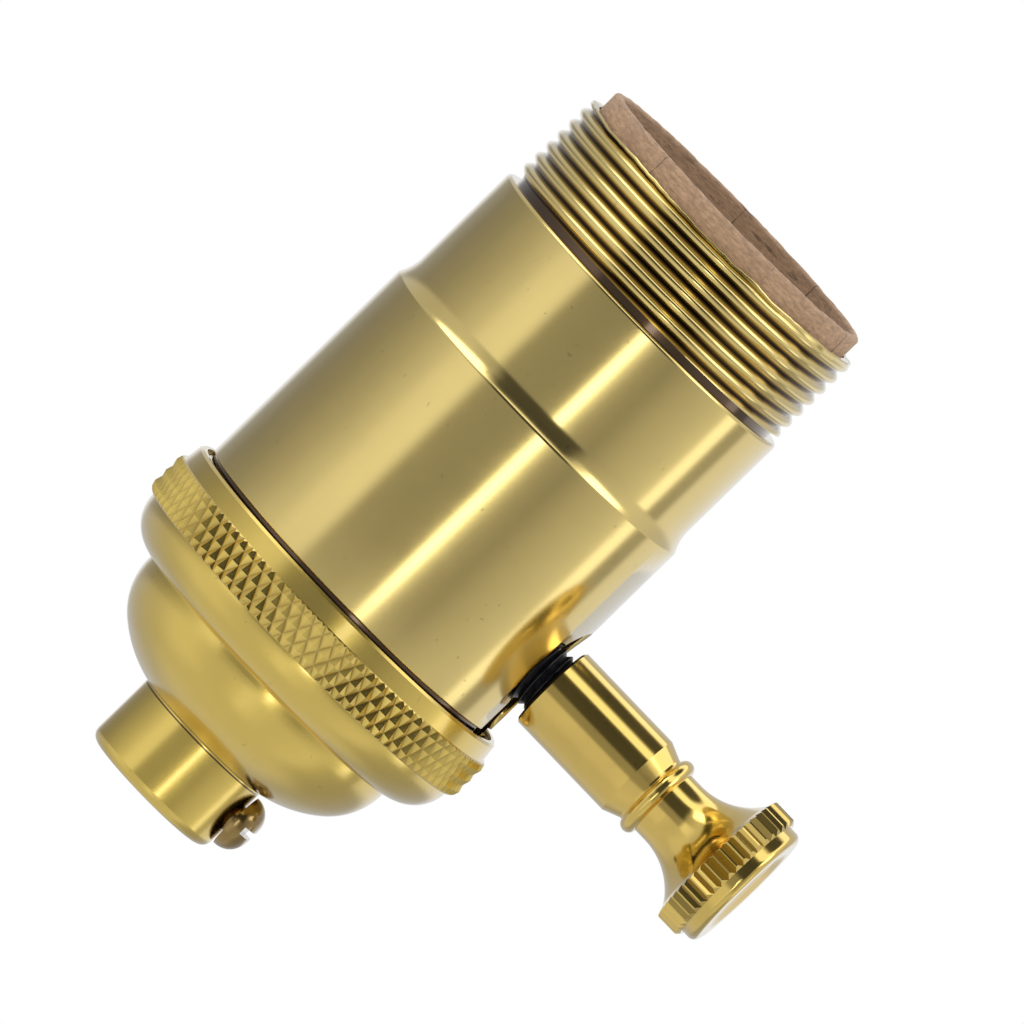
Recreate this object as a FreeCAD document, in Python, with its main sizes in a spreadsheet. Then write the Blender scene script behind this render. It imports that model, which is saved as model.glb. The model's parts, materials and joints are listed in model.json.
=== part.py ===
"""Lamp holder: a medium-base (E26) turn-knob socket in turned brass.

The origin is the middle of the neck's lower face, where the holder screws on
its nipple. +Z runs up the socket to its mouth and the knob points along +X.
Every length is in millimetres and every size is a named cell of the sheet.
"""
import FreeCAD
import Part
import math
import os
import re

from FreeCAD import Placement, Rotation, Vector
from Sketcher import Constraint

SIZES = [
    # neck, which screws on a 1/8 in lamp nipple
    ("nipple_bore_radius", 4.56),
    ("nipple_lead", 0.5),
    ("neck_wall", 2.64),
    ("neck_rounding", 1.0),
    # dome of the cap
    ("dome_level", 14.9),
    ("shoulder_arc", 6.7),
    ("shoulder_turn", 48.9),
    ("crown_arc", 11.8),
    ("dome_wall", 1.0),
    # flange below the knurled band
    ("flange_wall", 1.0),
    ("flange_flare", 3.85),
    ("flange_foot", 0.45),
    ("flange_edge", 0.2),
    ("ledge_drop", 0.6),
    ("ledge_width", 1.35),
    ("ledge_bore_depth", 1.6),
    # knurled band and rim
    ("band_rise", 0.8),
    ("band_height", 4.15),
    ("band_bevel", 0.4),
    ("knurl_count", 90),
    ("knurl_angle", 28.0),
    ("knurl_depth", 0.42),
    ("knurl_clear", 0.3),
    ("knurl_overlap", 1.12),
    ("rim_rise", 0.25),
    ("rim_height", 1.85),
    ("rim_draw", 0.2),
    ("rim_lip", 0.25),
    ("rim_mouth_gap", 0.45),
    ("rim_mouth_depth", 0.9),
    ("shell_thread_gap", 0.05),
    # set screw of the neck
    ("set_screw_level", 4.0),
    ("set_screw_radius", 1.45),
    ("set_screw_head_radius", 2.82),
    ("set_screw_head_height", 2.05),
    ("set_screw_stand_off", 0.25),
    ("set_screw_crown", 2.0),
    ("set_screw_slot_depth", 0.8),
    # shell
    ("shell_wall", 0.6),
    ("lower_height", 28.65),
    ("step_rise", 0.63),
    ("step_height", 2.75),
    ("upper_height", 10.7),
    ("shoulder_rise", 0.4),
    ("shoulder_rounding", 0.35),
    ("land_wall", 1.02),
    ("land_height", 9.9),
    ("land_lead", 0.8),
    ("relief_depth", 0.57),
    ("relief_width", 0.8),
    ("shell_lip", 0.3),
    ("notch_radius", 5.5),
    ("notch_rise", 0.4),
    ("notch_slot_half", 4.0),
    # paper sleeve
    ("sleeve_play", 0.15),
    ("sleeve_wall", 1.0),
    ("sleeve_gap", 0.3),
    ("sleeve_proud", 2.1),
    ("sleeve_edge", 0.3),
    ("sleeve_notch_margin", 0.3),
    # fibre cup in the dome
    ("cup_gap", 0.3),
    ("cup_wall", 0.6),
    ("cup_depth", 2.6),
    ("cup_corner", 2.2),
    ("cup_hole_radius", 6.0),
    # moulded halves of the switch
    ("base_flange_gap", 0.3),
    ("base_flange_height", 1.5),
    ("moulding_margin", 0.9),
    ("moulding_rise", 11.2),
    ("wire_hole_radius", 1.5),
    ("wire_hole_inset", 1.2),
    # screws that hold the halves together
    ("body_screw_inset", 2.95),
    ("body_screw_turn", 42.5),
    ("body_screw_radius", 1.45),
    ("body_screw_play", 0.15),
    ("body_screw_head_radius", 2.6),
    ("body_screw_head_height", 1.5),
    ("body_screw_head_play", 0.15),
    ("body_screw_sink", 0.1),
    ("body_screw_length", 20.0),
    ("body_screw_end_gap", 0.4),
    # screw shell for the lamp
    ("screw_shell_radius", 13.3),
    ("screw_shell_wall", 0.4),
    ("screw_shell_depth", 24.0),
    ("screw_shell_step", 0.9),
    ("screw_shell_step_height", 0.6),
    ("screw_shell_foot", 3.2),
    ("floor_hole_radius", 7.0),
    ("shell_rivet_inset", 1.5),
    ("shell_rivet_radius", 1.1),
    ("shell_rivet_head_radius", 1.9),
    ("shell_rivet_head_height", 0.7),
    ("shell_rivet_depth", 5.0),
    ("rivet_play", 0.02),
    ("rivet_edge_share", 0.4),
    ("rivet_crown_share", 0.7),
    # centre contact
    ("contact_thickness", 0.4),
    ("contact_width", 5.0),
    ("contact_margin", 0.6),
    ("contact_pad_half", 1.6),
    ("contact_tip", 0.9),
    ("contact_rise", 2.8),
    ("inner_bend_share", 0.4),
    ("outer_bend_share", 0.7),
    ("contact_rivet_inset", 1.8),
    ("contact_rivet_margin", 0.3),
    ("contact_rivet_radius", 1.0),
    ("contact_rivet_head_radius", 1.7),
    ("contact_rivet_head_height", 0.6),
    # terminals
    ("terminal_drop", 5.8),
    ("terminal_wall", 4.2),
    ("terminal_recess_half", 4.6),
    ("terminal_recess_down", 4.8),
    ("terminal_recess_up", 4.6),
    ("plate_thickness", 0.8),
    ("plate_half_width", 4.2),
    ("plate_margin", 0.3),
    ("strap_half_width", 2.6),
    ("strap_slot_half", 3.0),
    ("strap_overlap", 1.6),
    ("terminal_screw_radius", 1.9),
    ("terminal_screw_play", 0.1),
    ("terminal_screw_length", 4.2),
    ("terminal_screw_end_gap", 0.3),
    ("terminal_head_edge", 0.4),
    ("terminal_head_radius", 3.4),
    ("terminal_head_height", 1.7),
    ("screw_slot_width", 0.8),
    ("screw_slot_share", 0.5),
    # switch inside the halves
    ("stem_rise", 14.2),
    ("journal_radius", 2.4),
    ("journal_gap", 0.08),
    ("stem_radius", 3.25),
    ("stem_shoulder_gap", 0.7),
    ("stem_length", 12.1),
    ("stem_chamfer", 0.4),
    ("drive_half", 1.5),
    ("drive_start", -0.6),
    ("drive_gap", 0.05),
    ("drive_end_gap", 0.1),
    ("rotor_radius", 4.2),
    ("rotor_half_length", 5.2),
    ("rotor_end_gap", 0.55),
    ("rotor_waist_radius", 2.9),
    ("rotor_pivot_radius", 1.5),
    ("rotor_pivot_length", 3.0),
    ("pivot_end_gap", 0.3),
    ("drum_end", 1.0),
    ("index_start", 1.8),
    ("index_half", 3.1),
    ("index_corner", 0.7),
    ("bridge_start", -3.9),
    ("bridge_end", -1.3),
    ("bridge_half_height", 1.2),
    ("spring_thickness", 0.35),
    ("spring_clearance", 0.3),
    ("spring_room", 0.4),
    ("spring_start", -5.2),
    ("spring_end", -1.2),
    ("spring_crown_half", 1.0),
    ("spring_foot", 2.4),
    ("spring_reach", 4.4),
    ("index_spring_start", 2.2),
    ("index_spring_end", 4.8),
    ("index_spring_gap", 0.4),
    ("clip_radius", 3.9),
    ("clip_thickness", 0.6),
    ("clip_clearance", 0.15),
    # knob
    ("knob_stand_off", 0.9),
    ("knob_edge", 0.2),
    ("knob_sleeve_wall", 1.06),
    ("knob_sleeve_length", 11.1),
    ("knob_bore_gap", 0.05),
    ("knob_bore_end_gap", 0.8),
    ("knob_taper_length", 1.6),
    ("knob_taper_radius", 3.7),
    ("bead_offset", 0.98),
    ("bead_arc", 0.8),
    ("knob_neck_radius", 3.5),
    ("knob_neck_length", 1.22),
    ("flare_length", 5.45),
    ("flare_arc", 6.45),
    ("ring_radius", 7.35),
    ("ring_width", 2.85),
    ("ring_bevel", 0.35),
    ("rib_count", 48),
    ("rib_depth", 0.4),
    ("rib_clear", 0.25),
    ("rib_fill", 0.85),
    ("boss_radius", 6.7),
    ("boss_height", 1.4),
    ("boss_rounding", 0.7),
    ("boss_dish", 0.35),
    ("boss_dish_radius", 4.8),
    ("boss_dish_floor_radius", 3.84),
    # how far a cut runs past the wall that it goes through
    ("overcut", 1.0),
]

# Places that follow from the sizes, each named once.
FOLLOWS = {
    # outwards, from the lamp's screw shell to the knurled band
    "moulding_radius": "screw_shell_radius + moulding_margin",
    "sleeve_bore_radius": "moulding_radius + sleeve_gap",
    "sleeve_radius": "sleeve_bore_radius + sleeve_wall",
    "land_bore_radius": "sleeve_radius + sleeve_play",
    "shade_thread_radius": "land_bore_radius + land_wall",
    "relief_radius": "shade_thread_radius - relief_depth",
    "upper_radius": "shade_thread_radius + shoulder_rise",
    "shell_radius": "upper_radius + step_rise",
    "cap_bore_radius": "shell_radius + shell_thread_gap",
    "base_flange_radius": "shell_radius - base_flange_gap",
    "ledge_bore_radius": "cap_bore_radius - ledge_width",
    "flange_radius": "cap_bore_radius + flange_wall",
    "dome_radius": "flange_radius - flange_flare",
    "band_radius": "flange_radius + band_rise",
    "rim_foot_radius": "flange_radius + rim_rise",
    "rim_radius": "rim_foot_radius - rim_draw",
    "neck_radius": "nipple_bore_radius + neck_wall",
    # upwards, from the dome to the paper sleeve's edge
    "cup_floor": "dome_level - cup_depth",
    "flange_level": "dome_level + flange_foot + flange_flare",
    "cap_ledge": "flange_level - ledge_drop",
    "band_bottom": "flange_level + flange_edge",
    "band_top": "band_bottom + band_height",
    "cap_height": "band_top + rim_height",
    "shell_foot": "cap_ledge + base_flange_height",
    "step_bottom": "shell_foot + lower_height",
    "step_top": "step_bottom + step_height",
    "shoulder_level": "step_top + upper_height",
    "shell_height": "shoulder_level + land_height",
    "sleeve_height": "shell_height + sleeve_proud",
    "stem_level": "cap_ledge + stem_rise",
    "moulding_top": "stem_level + moulding_rise",
    "screw_shell_top": "moulding_top + screw_shell_depth",
    "terminal_level": "stem_level - terminal_drop",
    "terminal_recess_bottom": "terminal_level - terminal_recess_down",
    "terminal_recess_top": "terminal_level + terminal_recess_up",
    "body_screw_seat": "moulding_top - body_screw_head_height - body_screw_sink",
    "body_screw_end": "body_screw_seat - body_screw_length",
    # the switch's cavity and what stands off it
    "cavity_half_length": "rotor_half_length + rotor_end_gap + clip_thickness + clip_clearance",
    "cavity_half_width": "rotor_radius + spring_clearance + 2 * spring_thickness + spring_room",
    "cavity_roof": "stem_level + cavity_half_width",
    "cavity_floor": "stem_level - cavity_half_width",
    "terminal_flat": "cavity_half_width + terminal_wall",
    "wire_hole_offset": "terminal_flat + wire_hole_inset",
    "index_spring_half": "cavity_half_width - index_spring_gap",
    "body_screw_circle": "moulding_radius - body_screw_inset",
    "body_screw_across": "body_screw_circle * cos(body_screw_turn * 1 deg)",
    "body_screw_along": "body_screw_circle * sin(body_screw_turn * 1 deg)",
    "shell_rivet_offset": "floor_hole_radius + shell_rivet_inset",
    "strap_reach": "shell_rivet_offset - strap_overlap",
    "contact_foot_start": "contact_margin - floor_hole_radius",
    "contact_rivet_offset": "contact_foot_start + contact_rivet_inset",
    "contact_foot_end": "contact_rivet_offset + contact_rivet_head_radius + contact_rivet_margin",
    # along the knob's axis
    "stem_start": "moulding_radius + stem_shoulder_gap",
    "stem_end": "stem_start + stem_length",
    "knob_start": "shell_radius + knob_stand_off",
    "knob_bore_radius": "stem_radius + knob_bore_gap",
    "knob_sleeve_radius": "knob_bore_radius + knob_sleeve_wall",
    "knob_bore_end": "stem_end + knob_bore_end_gap",
    "knob_sleeve_end": "knob_start + knob_sleeve_length",
    "knob_taper_end": "knob_sleeve_end + knob_taper_length",
    "bead_centre": "knob_taper_end + bead_offset",
    "flare_start": "bead_centre + bead_arc + knob_neck_length",
    "flare_end": "flare_start + flare_length",
    "ring_end": "flare_end + ring_width",
    "boss_end": "ring_end + boss_height",
}

document = FreeCAD.newDocument("lamp_holder")
sheet = document.addObject("Spreadsheet::Sheet", "sizes")
for row, (alias, value) in enumerate(SIZES, start=1):
    sheet.set(f"A{row}", alias)
    sheet.set(f"B{row}", str(value))
    sheet.setAlias(f"B{row}", alias)
document.recompute()

NODES = []
ALIASES = [alias for alias, value in SIZES]


def bound(text):
    """The expression with each size's name written as a cell of the sheet.

    A name of FOLLOWS is written out as the sizes that it follows from.
    """
    def written(found):
        word = found.group()
        if word in FOLLOWS:
            return "(" + bound(FOLLOWS[word]) + ")"
        return "sizes." + word if word in ALIASES else word

    return re.sub(r"[A-Za-z_]\w*", written, text)


def number(text):
    """What an expression of sizes comes to, in millimetres."""
    return float(sheet.evalExpression(bound(text)))


# ---------------------------------------------------------------- features

def origin_plane(body, role):
    """A body's own origin plane, by its role."""
    for feature in body.Origin.OriginFeatures:
        if feature.Role == role:
            return feature
    raise LookupError(role)


class Outline:
    """A closed outline in a sketch, each corner held by expressions of the sizes.

    A corner is (across, along) in the sketch's own axes. Between corners runs a
    straight line, unless the corner starts an arc: (across, along, "arc",
    radius, centre across, centre along).
    """

    def __init__(self, sketch):
        self.sketch = sketch
        self.links = 0

    def hold(self, kind, *where, value):
        """One dimension of the sketch, bound to an expression."""
        at = number(value)
        if abs(at) < 1e-9:
            axis = -2 if kind == "DistanceX" else -1
            self.sketch.addConstraint(Constraint("PointOnObject", *where, axis))
            return
        if kind in ("DistanceX", "DistanceY"):
            index = self.sketch.addConstraint(Constraint(kind, -1, 1, *where, at))
        else:
            index = self.sketch.addConstraint(Constraint(kind, *where, at))
        name = f"size{self.links}"
        self.links += 1
        self.sketch.renameConstraint(index, name)
        self.sketch.setExpression("Constraints." + name, bound(value))

    def draw(self, corners):
        """Add the outline's edges, join them and hold every corner."""
        places = [Vector(number(c[0]), number(c[1]), 0) for c in corners]
        edges = []
        for index, corner in enumerate(corners):
            start = places[index]
            end = places[(index + 1) % len(places)]
            if len(corner) == 2:
                edges.append((self.sketch.addGeometry(Part.LineSegment(start, end), False), 1, 2))
            else:
                edges.append(self.arc(start, end, corner))
        for index, (edge, first, last) in enumerate(edges):
            following, start, _ = edges[(index + 1) % len(edges)]
            self.sketch.addConstraint(Constraint("Coincident", edge, last, following, start))
        for (edge, first, last), corner in zip(edges, corners):
            self.hold("DistanceX", edge, first, value=corner[0])
            self.hold("DistanceY", edge, first, value=corner[1])

    def arc(self, start, end, corner):
        """A circular arc by its radius and the rough place of its centre."""
        centre = Vector(number(corner[4]), number(corner[5]), 0)
        radius = number(corner[3])
        turn_start = math.atan2(start.y - centre.y, start.x - centre.x)
        turn_end = math.atan2(end.y - centre.y, end.x - centre.x)
        forwards = (turn_end - turn_start) % (2 * math.pi) < math.pi
        circle = Part.Circle(centre, Vector(0, 0, 1), radius)
        turns = (turn_start, turn_end) if forwards else (turn_end, turn_start)
        edge = self.sketch.addGeometry(Part.ArcOfCircle(circle, *turns), False)
        self.hold("Radius", edge, value=corner[3])
        return (edge, 1, 2) if forwards else (edge, 2, 1)

    def circle(self, across, along, radius):
        """A full circle held by its centre and radius."""
        centre = Vector(number(across), number(along), 0)
        whole = Part.Circle(centre, Vector(0, 0, 1), number(radius))
        edge = self.sketch.addGeometry(whole, False)
        self.hold("Radius", edge, value=radius)
        self.hold("DistanceX", edge, 3, value=across)
        self.hold("DistanceY", edge, 3, value=along)


def sketch_on(body, role, level="0"):
    """A sketch on one of the body's origin planes, lifted along its normal."""
    sketch = body.newObject("Sketcher::SketchObject", body.Name + "_sketch")
    sketch.AttachmentSupport = (origin_plane(body, role), [""])
    sketch.MapMode = "FlatFace"
    if level != "0":
        sketch.setExpression("AttachmentOffset.Base.z", bound(level))
    return sketch


def new_body(node):
    """A body that becomes the node of this name."""
    body = document.addObject("PartDesign::Body", node)
    body.Label = node
    NODES.append(body)
    return body


def turn(body, corners, axis="V_Axis"):
    """Turn an outline of the XZ plane about the body's Z axis, or its X axis."""
    sketch = sketch_on(body, "XZ_Plane")
    Outline(sketch).draw(corners)
    feature = body.newObject("PartDesign::Revolution", body.Name + "_turned")
    feature.Profile = sketch
    feature.ReferenceAxis = (sketch, [axis])
    feature.Angle = 360
    return feature


def turned(node, corners, axis="V_Axis"):
    """A body turned from one outline."""
    body = new_body(node)
    turn(body, corners, axis)
    return body


def swept(body, kind, role, level, length, loops=(), circles=()):
    """Pad or pocket outlines of an origin plane, half of the length each way."""
    sketch = sketch_on(body, role, level)
    outline = Outline(sketch)
    for corners in loops:
        outline.draw(corners)
    for circle in circles:
        outline.circle(*circle)
    feature = body.newObject("PartDesign::" + kind, body.Name + "_" + kind.lower())
    feature.Profile = sketch
    feature.SideType = "Symmetric"
    feature.setExpression("Length", bound(length))
    return feature


def rectangle(left, low, right, high):
    """The four corners of an upright rectangle."""
    return [(left, low), (right, low), (right, high), (left, high)]


def pattern(body, feature, count, axis="Z_Axis"):
    """Repeat a feature round one of the body's axes and keep it as the tip."""
    repeat = body.newObject("PartDesign::PolarPattern", body.Name + "_round")
    repeat.Originals = [feature]
    repeat.Axis = (origin_plane(body, axis), [""])
    repeat.Angle = 360
    repeat.setExpression("Occurrences", bound(count))
    body.Tip = repeat
    return repeat


def place(body, across="0", depth="0", level="0", rotation=None):
    """Put a body in the holder's frame, its place bound to the sizes."""
    body.Placement = Placement(Vector(), rotation or Rotation())
    for letter, text in (("x", across), ("y", depth), ("z", level)):
        if text != "0":
            body.setExpression("Placement.Base." + letter, bound(text))


# ---------------------------------------------------------------- the cap

def dome_points(wall):
    """Corners of the dome's arcs, inside or outside its wall, from foot to top.

    A crown arc leaves the neck and a tighter shoulder arc ends upright.
    """
    cosine = "cos(shoulder_turn * 1 deg)"
    sine = "sin(shoulder_turn * 1 deg)"
    shoulder = f"(shoulder_arc - {wall})"
    crown = f"(crown_arc - {wall})"
    middle = "(dome_radius - shoulder_arc)"
    crown_across = f"({middle} - (crown_arc - shoulder_arc) * {cosine})"
    crown_along = f"(dome_level + (crown_arc - shoulder_arc) * {sine})"
    foot = "neck_radius" if wall == "0" else "nipple_bore_radius"
    foot_level = f"{crown_along} - sqrt({crown}^2 - ({foot} - {crown_across})^2)"
    return [
        (foot, foot_level, "arc", crown, crown_across, crown_along),
        (f"{middle} + {shoulder} * {cosine}", f"dome_level - {shoulder} * {sine}",
         "arc", shoulder, middle, "dome_level"),
        (f"dome_radius - {wall}", "dome_level"),
    ]


def backwards(corners):
    """The same corners and arcs in the other direction."""
    turned_round = []
    for index in range(len(corners) - 1, -1, -1):
        arc = corners[index - 1][2:] if index > 0 else ()
        turned_round.append(corners[index][:2] + arc)
    return turned_round


def make_cap():
    """Turned cap: neck, dome, flange, knurled band and rim."""
    body = new_body("cap")
    turn(body, [
        ("nipple_bore_radius + nipple_lead", "0"),
        ("neck_radius - neck_rounding", "0", "arc", "neck_rounding",
         "neck_radius - neck_rounding", "neck_rounding"),
        ("neck_radius", "neck_rounding"),
        *dome_points("0"),
        ("dome_radius", "flange_level - flange_flare", "arc",
         "flange_flare", "dome_radius", "flange_level"),
        ("flange_radius", "flange_level"),
        ("flange_radius", "band_bottom"),
        ("band_radius - band_bevel", "band_bottom"),
        ("band_radius", "band_bottom + band_bevel"),
        ("band_radius", "band_top - band_bevel"),
        ("band_radius - band_bevel", "band_top"),
        ("rim_foot_radius", "band_top"),
        ("rim_radius", "cap_height - rim_lip"),
        ("rim_radius - rim_lip", "cap_height"),
        ("shell_radius + rim_mouth_gap", "cap_height"),
        ("shell_radius + rim_mouth_gap", "cap_height - rim_mouth_depth"),
        ("cap_bore_radius", "cap_height - rim_mouth_depth"),
        ("cap_bore_radius", "cap_ledge"),
        ("ledge_bore_radius", "cap_ledge"),
        ("ledge_bore_radius", "cap_ledge - ledge_bore_depth"),
        *backwards(dome_points("dome_wall")),
        ("nipple_bore_radius", "nipple_lead"),
    ])
    for side in (1, -1):
        pattern(body, knurl_groove(body, side), "knurl_count")
    set_screw_hole(body)
    return body


def knurl_groove(body, side):
    """One V groove across the band, leaning by the knurl's angle to this side."""
    sketch = sketch_on(body, "XY_Plane", "band_bottom + band_height / 2")
    half_pitch = "pi * band_radius / knurl_count"
    spread = f"{half_pitch} * knurl_overlap * (knurl_depth + knurl_clear) / knurl_depth"
    Outline(sketch).draw([
        ("band_radius - knurl_depth", "0"),
        ("band_radius + knurl_clear", spread),
        ("band_radius + knurl_clear", f"-1 * {spread}"),
    ])
    groove = body.newObject("PartDesign::Pocket", f"knurl_groove{side + 1}")
    groove.Profile = sketch
    groove.SideType = "Symmetric"
    groove.AlongSketchNormal = False
    groove.UseCustomVector = True
    groove.setExpression("Length", bound("band_height + 2 * overcut"))
    groove.setExpression("Direction.x", "0")
    groove.setExpression("Direction.y", f"{side} * sin({bound('knurl_angle')} * 1 deg)")
    groove.setExpression("Direction.z", f"cos({bound('knurl_angle')} * 1 deg)")
    return groove


def set_screw_hole(body):
    """The tapped hole through one side of the neck, on the set screw's axis."""
    sketch = sketch_on(body, "YZ_Plane")
    Outline(sketch).circle("0", "set_screw_level", "set_screw_radius")
    hole = body.newObject("PartDesign::Pocket", "set_screw_hole")
    hole.Profile = sketch
    hole.Reversed = True
    hole.setExpression("Length", bound("neck_radius + set_screw_stand_off"))


def slot(body, level, head_radius, top):
    """A screwdriver slot across a head that is turned about Z, cut down from top."""
    swept(body, "Pocket", "XZ_Plane", "0", f"2 * ({head_radius} + overcut)", loops=[
        rectangle("-1 * screw_slot_width / 2", level, "screw_slot_width / 2", f"{top} + overcut")])


def make_set_screw():
    """Slotted round-head screw that locks the neck on its nipple."""
    foot = "neck_radius + set_screw_stand_off"
    top = f"({foot} + set_screw_head_height)"
    edge = "set_screw_head_radius - set_screw_crown"
    body = turned("neck_set_screw", [
        ("0", "nipple_bore_radius"),
        ("set_screw_radius", "nipple_bore_radius"),
        ("set_screw_radius", foot),
        ("set_screw_head_radius", foot),
        ("set_screw_head_radius", f"{top} - set_screw_crown", "arc", "set_screw_crown",
         edge, f"{top} - set_screw_crown"),
        (edge, top),
        ("0", top),
    ])
    slot(body, f"{top} - set_screw_slot_depth", "set_screw_head_radius", top)
    place(body, level="set_screw_level",
          rotation=Rotation(Vector(0, 1, 0), 90))
    return body


# ---------------------------------------------------------------- shell and linings

def stem_notch(body, radius, half_slot):
    """A round window for the stem that is open down to the wall's lower edge."""
    middle = "(stem_level + notch_rise)"
    level = f"{middle} - sqrt({radius}^2 - {half_slot}^2)"
    sketch = sketch_on(body, "YZ_Plane")
    Outline(sketch).draw([
        (f"-1 * {half_slot}", "shell_foot - overcut"),
        (half_slot, "shell_foot - overcut"),
        (half_slot, level, "arc", radius, "0", middle),
        ("0", f"{middle} + {radius}", "arc", radius, "0", middle),
        (f"-1 * {half_slot}", level),
    ])
    notch = body.newObject("PartDesign::Pocket", body.Name + "_notch")
    notch.Profile = sketch
    notch.Reversed = True
    notch.setExpression("Length", bound("band_radius"))
    return notch


def make_shell():
    """Turned shell: wide below its step, with the shade thread's land at the mouth."""
    body = turned("shell", [
        ("shell_radius - shell_wall", "shell_foot"),
        ("shell_radius", "shell_foot"),
        ("shell_radius", "step_bottom"),
        ("upper_radius", "step_top"),
        ("upper_radius", "shoulder_level - shoulder_rounding", "arc", "shoulder_rounding",
         "upper_radius - shoulder_rounding", "shoulder_level - shoulder_rounding"),
        ("upper_radius - shoulder_rounding", "shoulder_level"),
        ("relief_radius", "shoulder_level"),
        ("relief_radius", "shoulder_level + relief_width"),
        ("shade_thread_radius", "shoulder_level + relief_width"),
        ("shade_thread_radius", "shell_height - shell_lip"),
        ("shade_thread_radius - shell_lip", "shell_height"),
        ("land_bore_radius", "shell_height"),
        ("land_bore_radius", "shoulder_level + land_lead - shell_wall"),
        ("upper_radius - shell_wall", "shoulder_level - shell_wall"),
        ("upper_radius - shell_wall", "step_top"),
        ("shell_radius - shell_wall", "step_bottom"),
    ])
    stem_notch(body, "notch_radius", "notch_slot_half")
    return body


def make_paper_sleeve():
    """Rolled paper lining that stands proud of the shell's mouth."""
    body = turned("paper_sleeve", [
        ("sleeve_bore_radius", "shell_foot"),
        ("sleeve_radius", "shell_foot"),
        ("sleeve_radius", "sleeve_height - sleeve_edge"),
        ("sleeve_radius - sleeve_edge", "sleeve_height"),
        ("sleeve_bore_radius + sleeve_edge", "sleeve_height"),
        ("sleeve_bore_radius", "sleeve_height - sleeve_edge"),
    ])
    stem_notch(body, "(notch_radius - sleeve_notch_margin)",
               "(notch_slot_half - sleeve_notch_margin)")
    return body


def make_cap_insulator():
    """Fibre cup that lines the dome, under the moulding's flange."""
    outside = "(dome_radius - dome_wall - cup_gap)"
    inside = f"({outside} - cup_wall)"
    return turned("cap_insulator", [
        ("cup_hole_radius", "cup_floor"),
        (f"{outside} - cup_corner", "cup_floor"),
        (outside, "cup_floor + cup_corner"),
        (outside, "cap_ledge"),
        (inside, "cap_ledge"),
        (inside, "cup_floor + cup_corner"),
        (f"{inside} - cup_corner + cup_wall", "cup_floor + cup_wall"),
        ("cup_hole_radius", "cup_floor + cup_wall"),
    ])


# ---------------------------------------------------------------- moulded halves

def between(low, high):
    """The middle of a span and its length, for a symmetric pad or pocket."""
    return f"(({low}) + ({high})) / 2", f"({high}) - ({low})"


def terminal_recesses(body):
    """Flats on both sides of the moulding for the terminal plates."""
    swept(body, "Pocket", "XY_Plane",
          *between("terminal_recess_bottom", "terminal_recess_top"), loops=[
              rectangle("-1 * terminal_recess_half", f"{side} * terminal_flat",
                        "terminal_recess_half", f"{side} * sleeve_radius")
              for side in (1, -1)])


def cavity(body, low, high):
    """The space for the rotor, open at the level where the halves meet."""
    swept(body, "Pocket", "XZ_Plane", "0", "2 * cavity_half_width", loops=[
        rectangle("-1 * cavity_half_length", low, "cavity_half_length", high)])


def stem_bearings(body):
    """Bores for the stem's journal and for the rotor's pivot, both on X."""
    sketch = sketch_on(body, "YZ_Plane")
    Outline(sketch).circle("0", "stem_level", "journal_radius + journal_gap")
    bearing = body.newObject("PartDesign::Pocket", body.Name + "_bearing")
    bearing.Profile = sketch
    bearing.Reversed = True
    bearing.setExpression("Length", bound("moulding_radius + overcut"))
    sketch = sketch_on(body, "YZ_Plane")
    Outline(sketch).circle("0", "stem_level", "rotor_pivot_radius + journal_gap")
    pivot = body.newObject("PartDesign::Pocket", body.Name + "_pivot_bore")
    pivot.Profile = sketch
    pivot.setExpression("Length", bound("rotor_half_length + rotor_pivot_length + pivot_end_gap"))


def make_switch_base():
    """Lower moulded half, clamped by its flange between cap and shell."""
    body = turned("switch_base", [
        ("0", "cap_ledge"),
        ("base_flange_radius", "cap_ledge"),
        ("base_flange_radius", "shell_foot"),
        ("moulding_radius", "shell_foot"),
        ("moulding_radius", "stem_level"),
        ("0", "stem_level"),
    ])
    cavity(body, "cavity_floor", "stem_level + overcut")
    stem_bearings(body)
    terminal_recesses(body)
    strap_slots(body, "terminal_recess_top - overcut", "stem_level + overcut")
    wire_hole_length = "2 * (terminal_recess_bottom - cap_ledge) + overcut"
    swept(body, "Pocket", "XY_Plane", "cap_ledge", wire_hole_length, circles=[
        ("0", "wire_hole_offset", "wire_hole_radius"),
        ("0", "-1 * wire_hole_offset", "wire_hole_radius")])
    terminal_screw_holes(body)
    body_screw_holes(body, "body_screw_radius + rivet_play",
                     "body_screw_end - body_screw_end_gap", "stem_level + overcut")
    return body


def strap_slots(body, low, high):
    """The groove on the +Y side in which the neutral strap climbs."""
    swept(body, "Pocket", "XY_Plane", *between(low, high), loops=[
        rectangle("-1 * strap_slot_half", "terminal_flat", "strap_slot_half", "sleeve_radius")])


def terminal_screw_holes(body):
    """Blind tapped holes in the two terminal flats."""
    floor = "(terminal_flat + plate_thickness - terminal_screw_length - terminal_screw_end_gap)"
    for side in (1, -1):
        middle, length = between(floor, "terminal_flat + overcut")
        swept(body, "Pocket", "XZ_Plane", f"{-side} * {middle}", length, circles=[
            ("0", "terminal_level", "terminal_screw_radius + terminal_screw_play")])


def body_screw_holes(body, radius, low, high):
    """The two holes for the long screws, on a diagonal of the moulding."""
    swept(body, "Pocket", "XY_Plane", *between(low, high), circles=[
        (f"{side} * body_screw_across", f"{side} * body_screw_along", radius)
        for side in (1, -1)])


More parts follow.
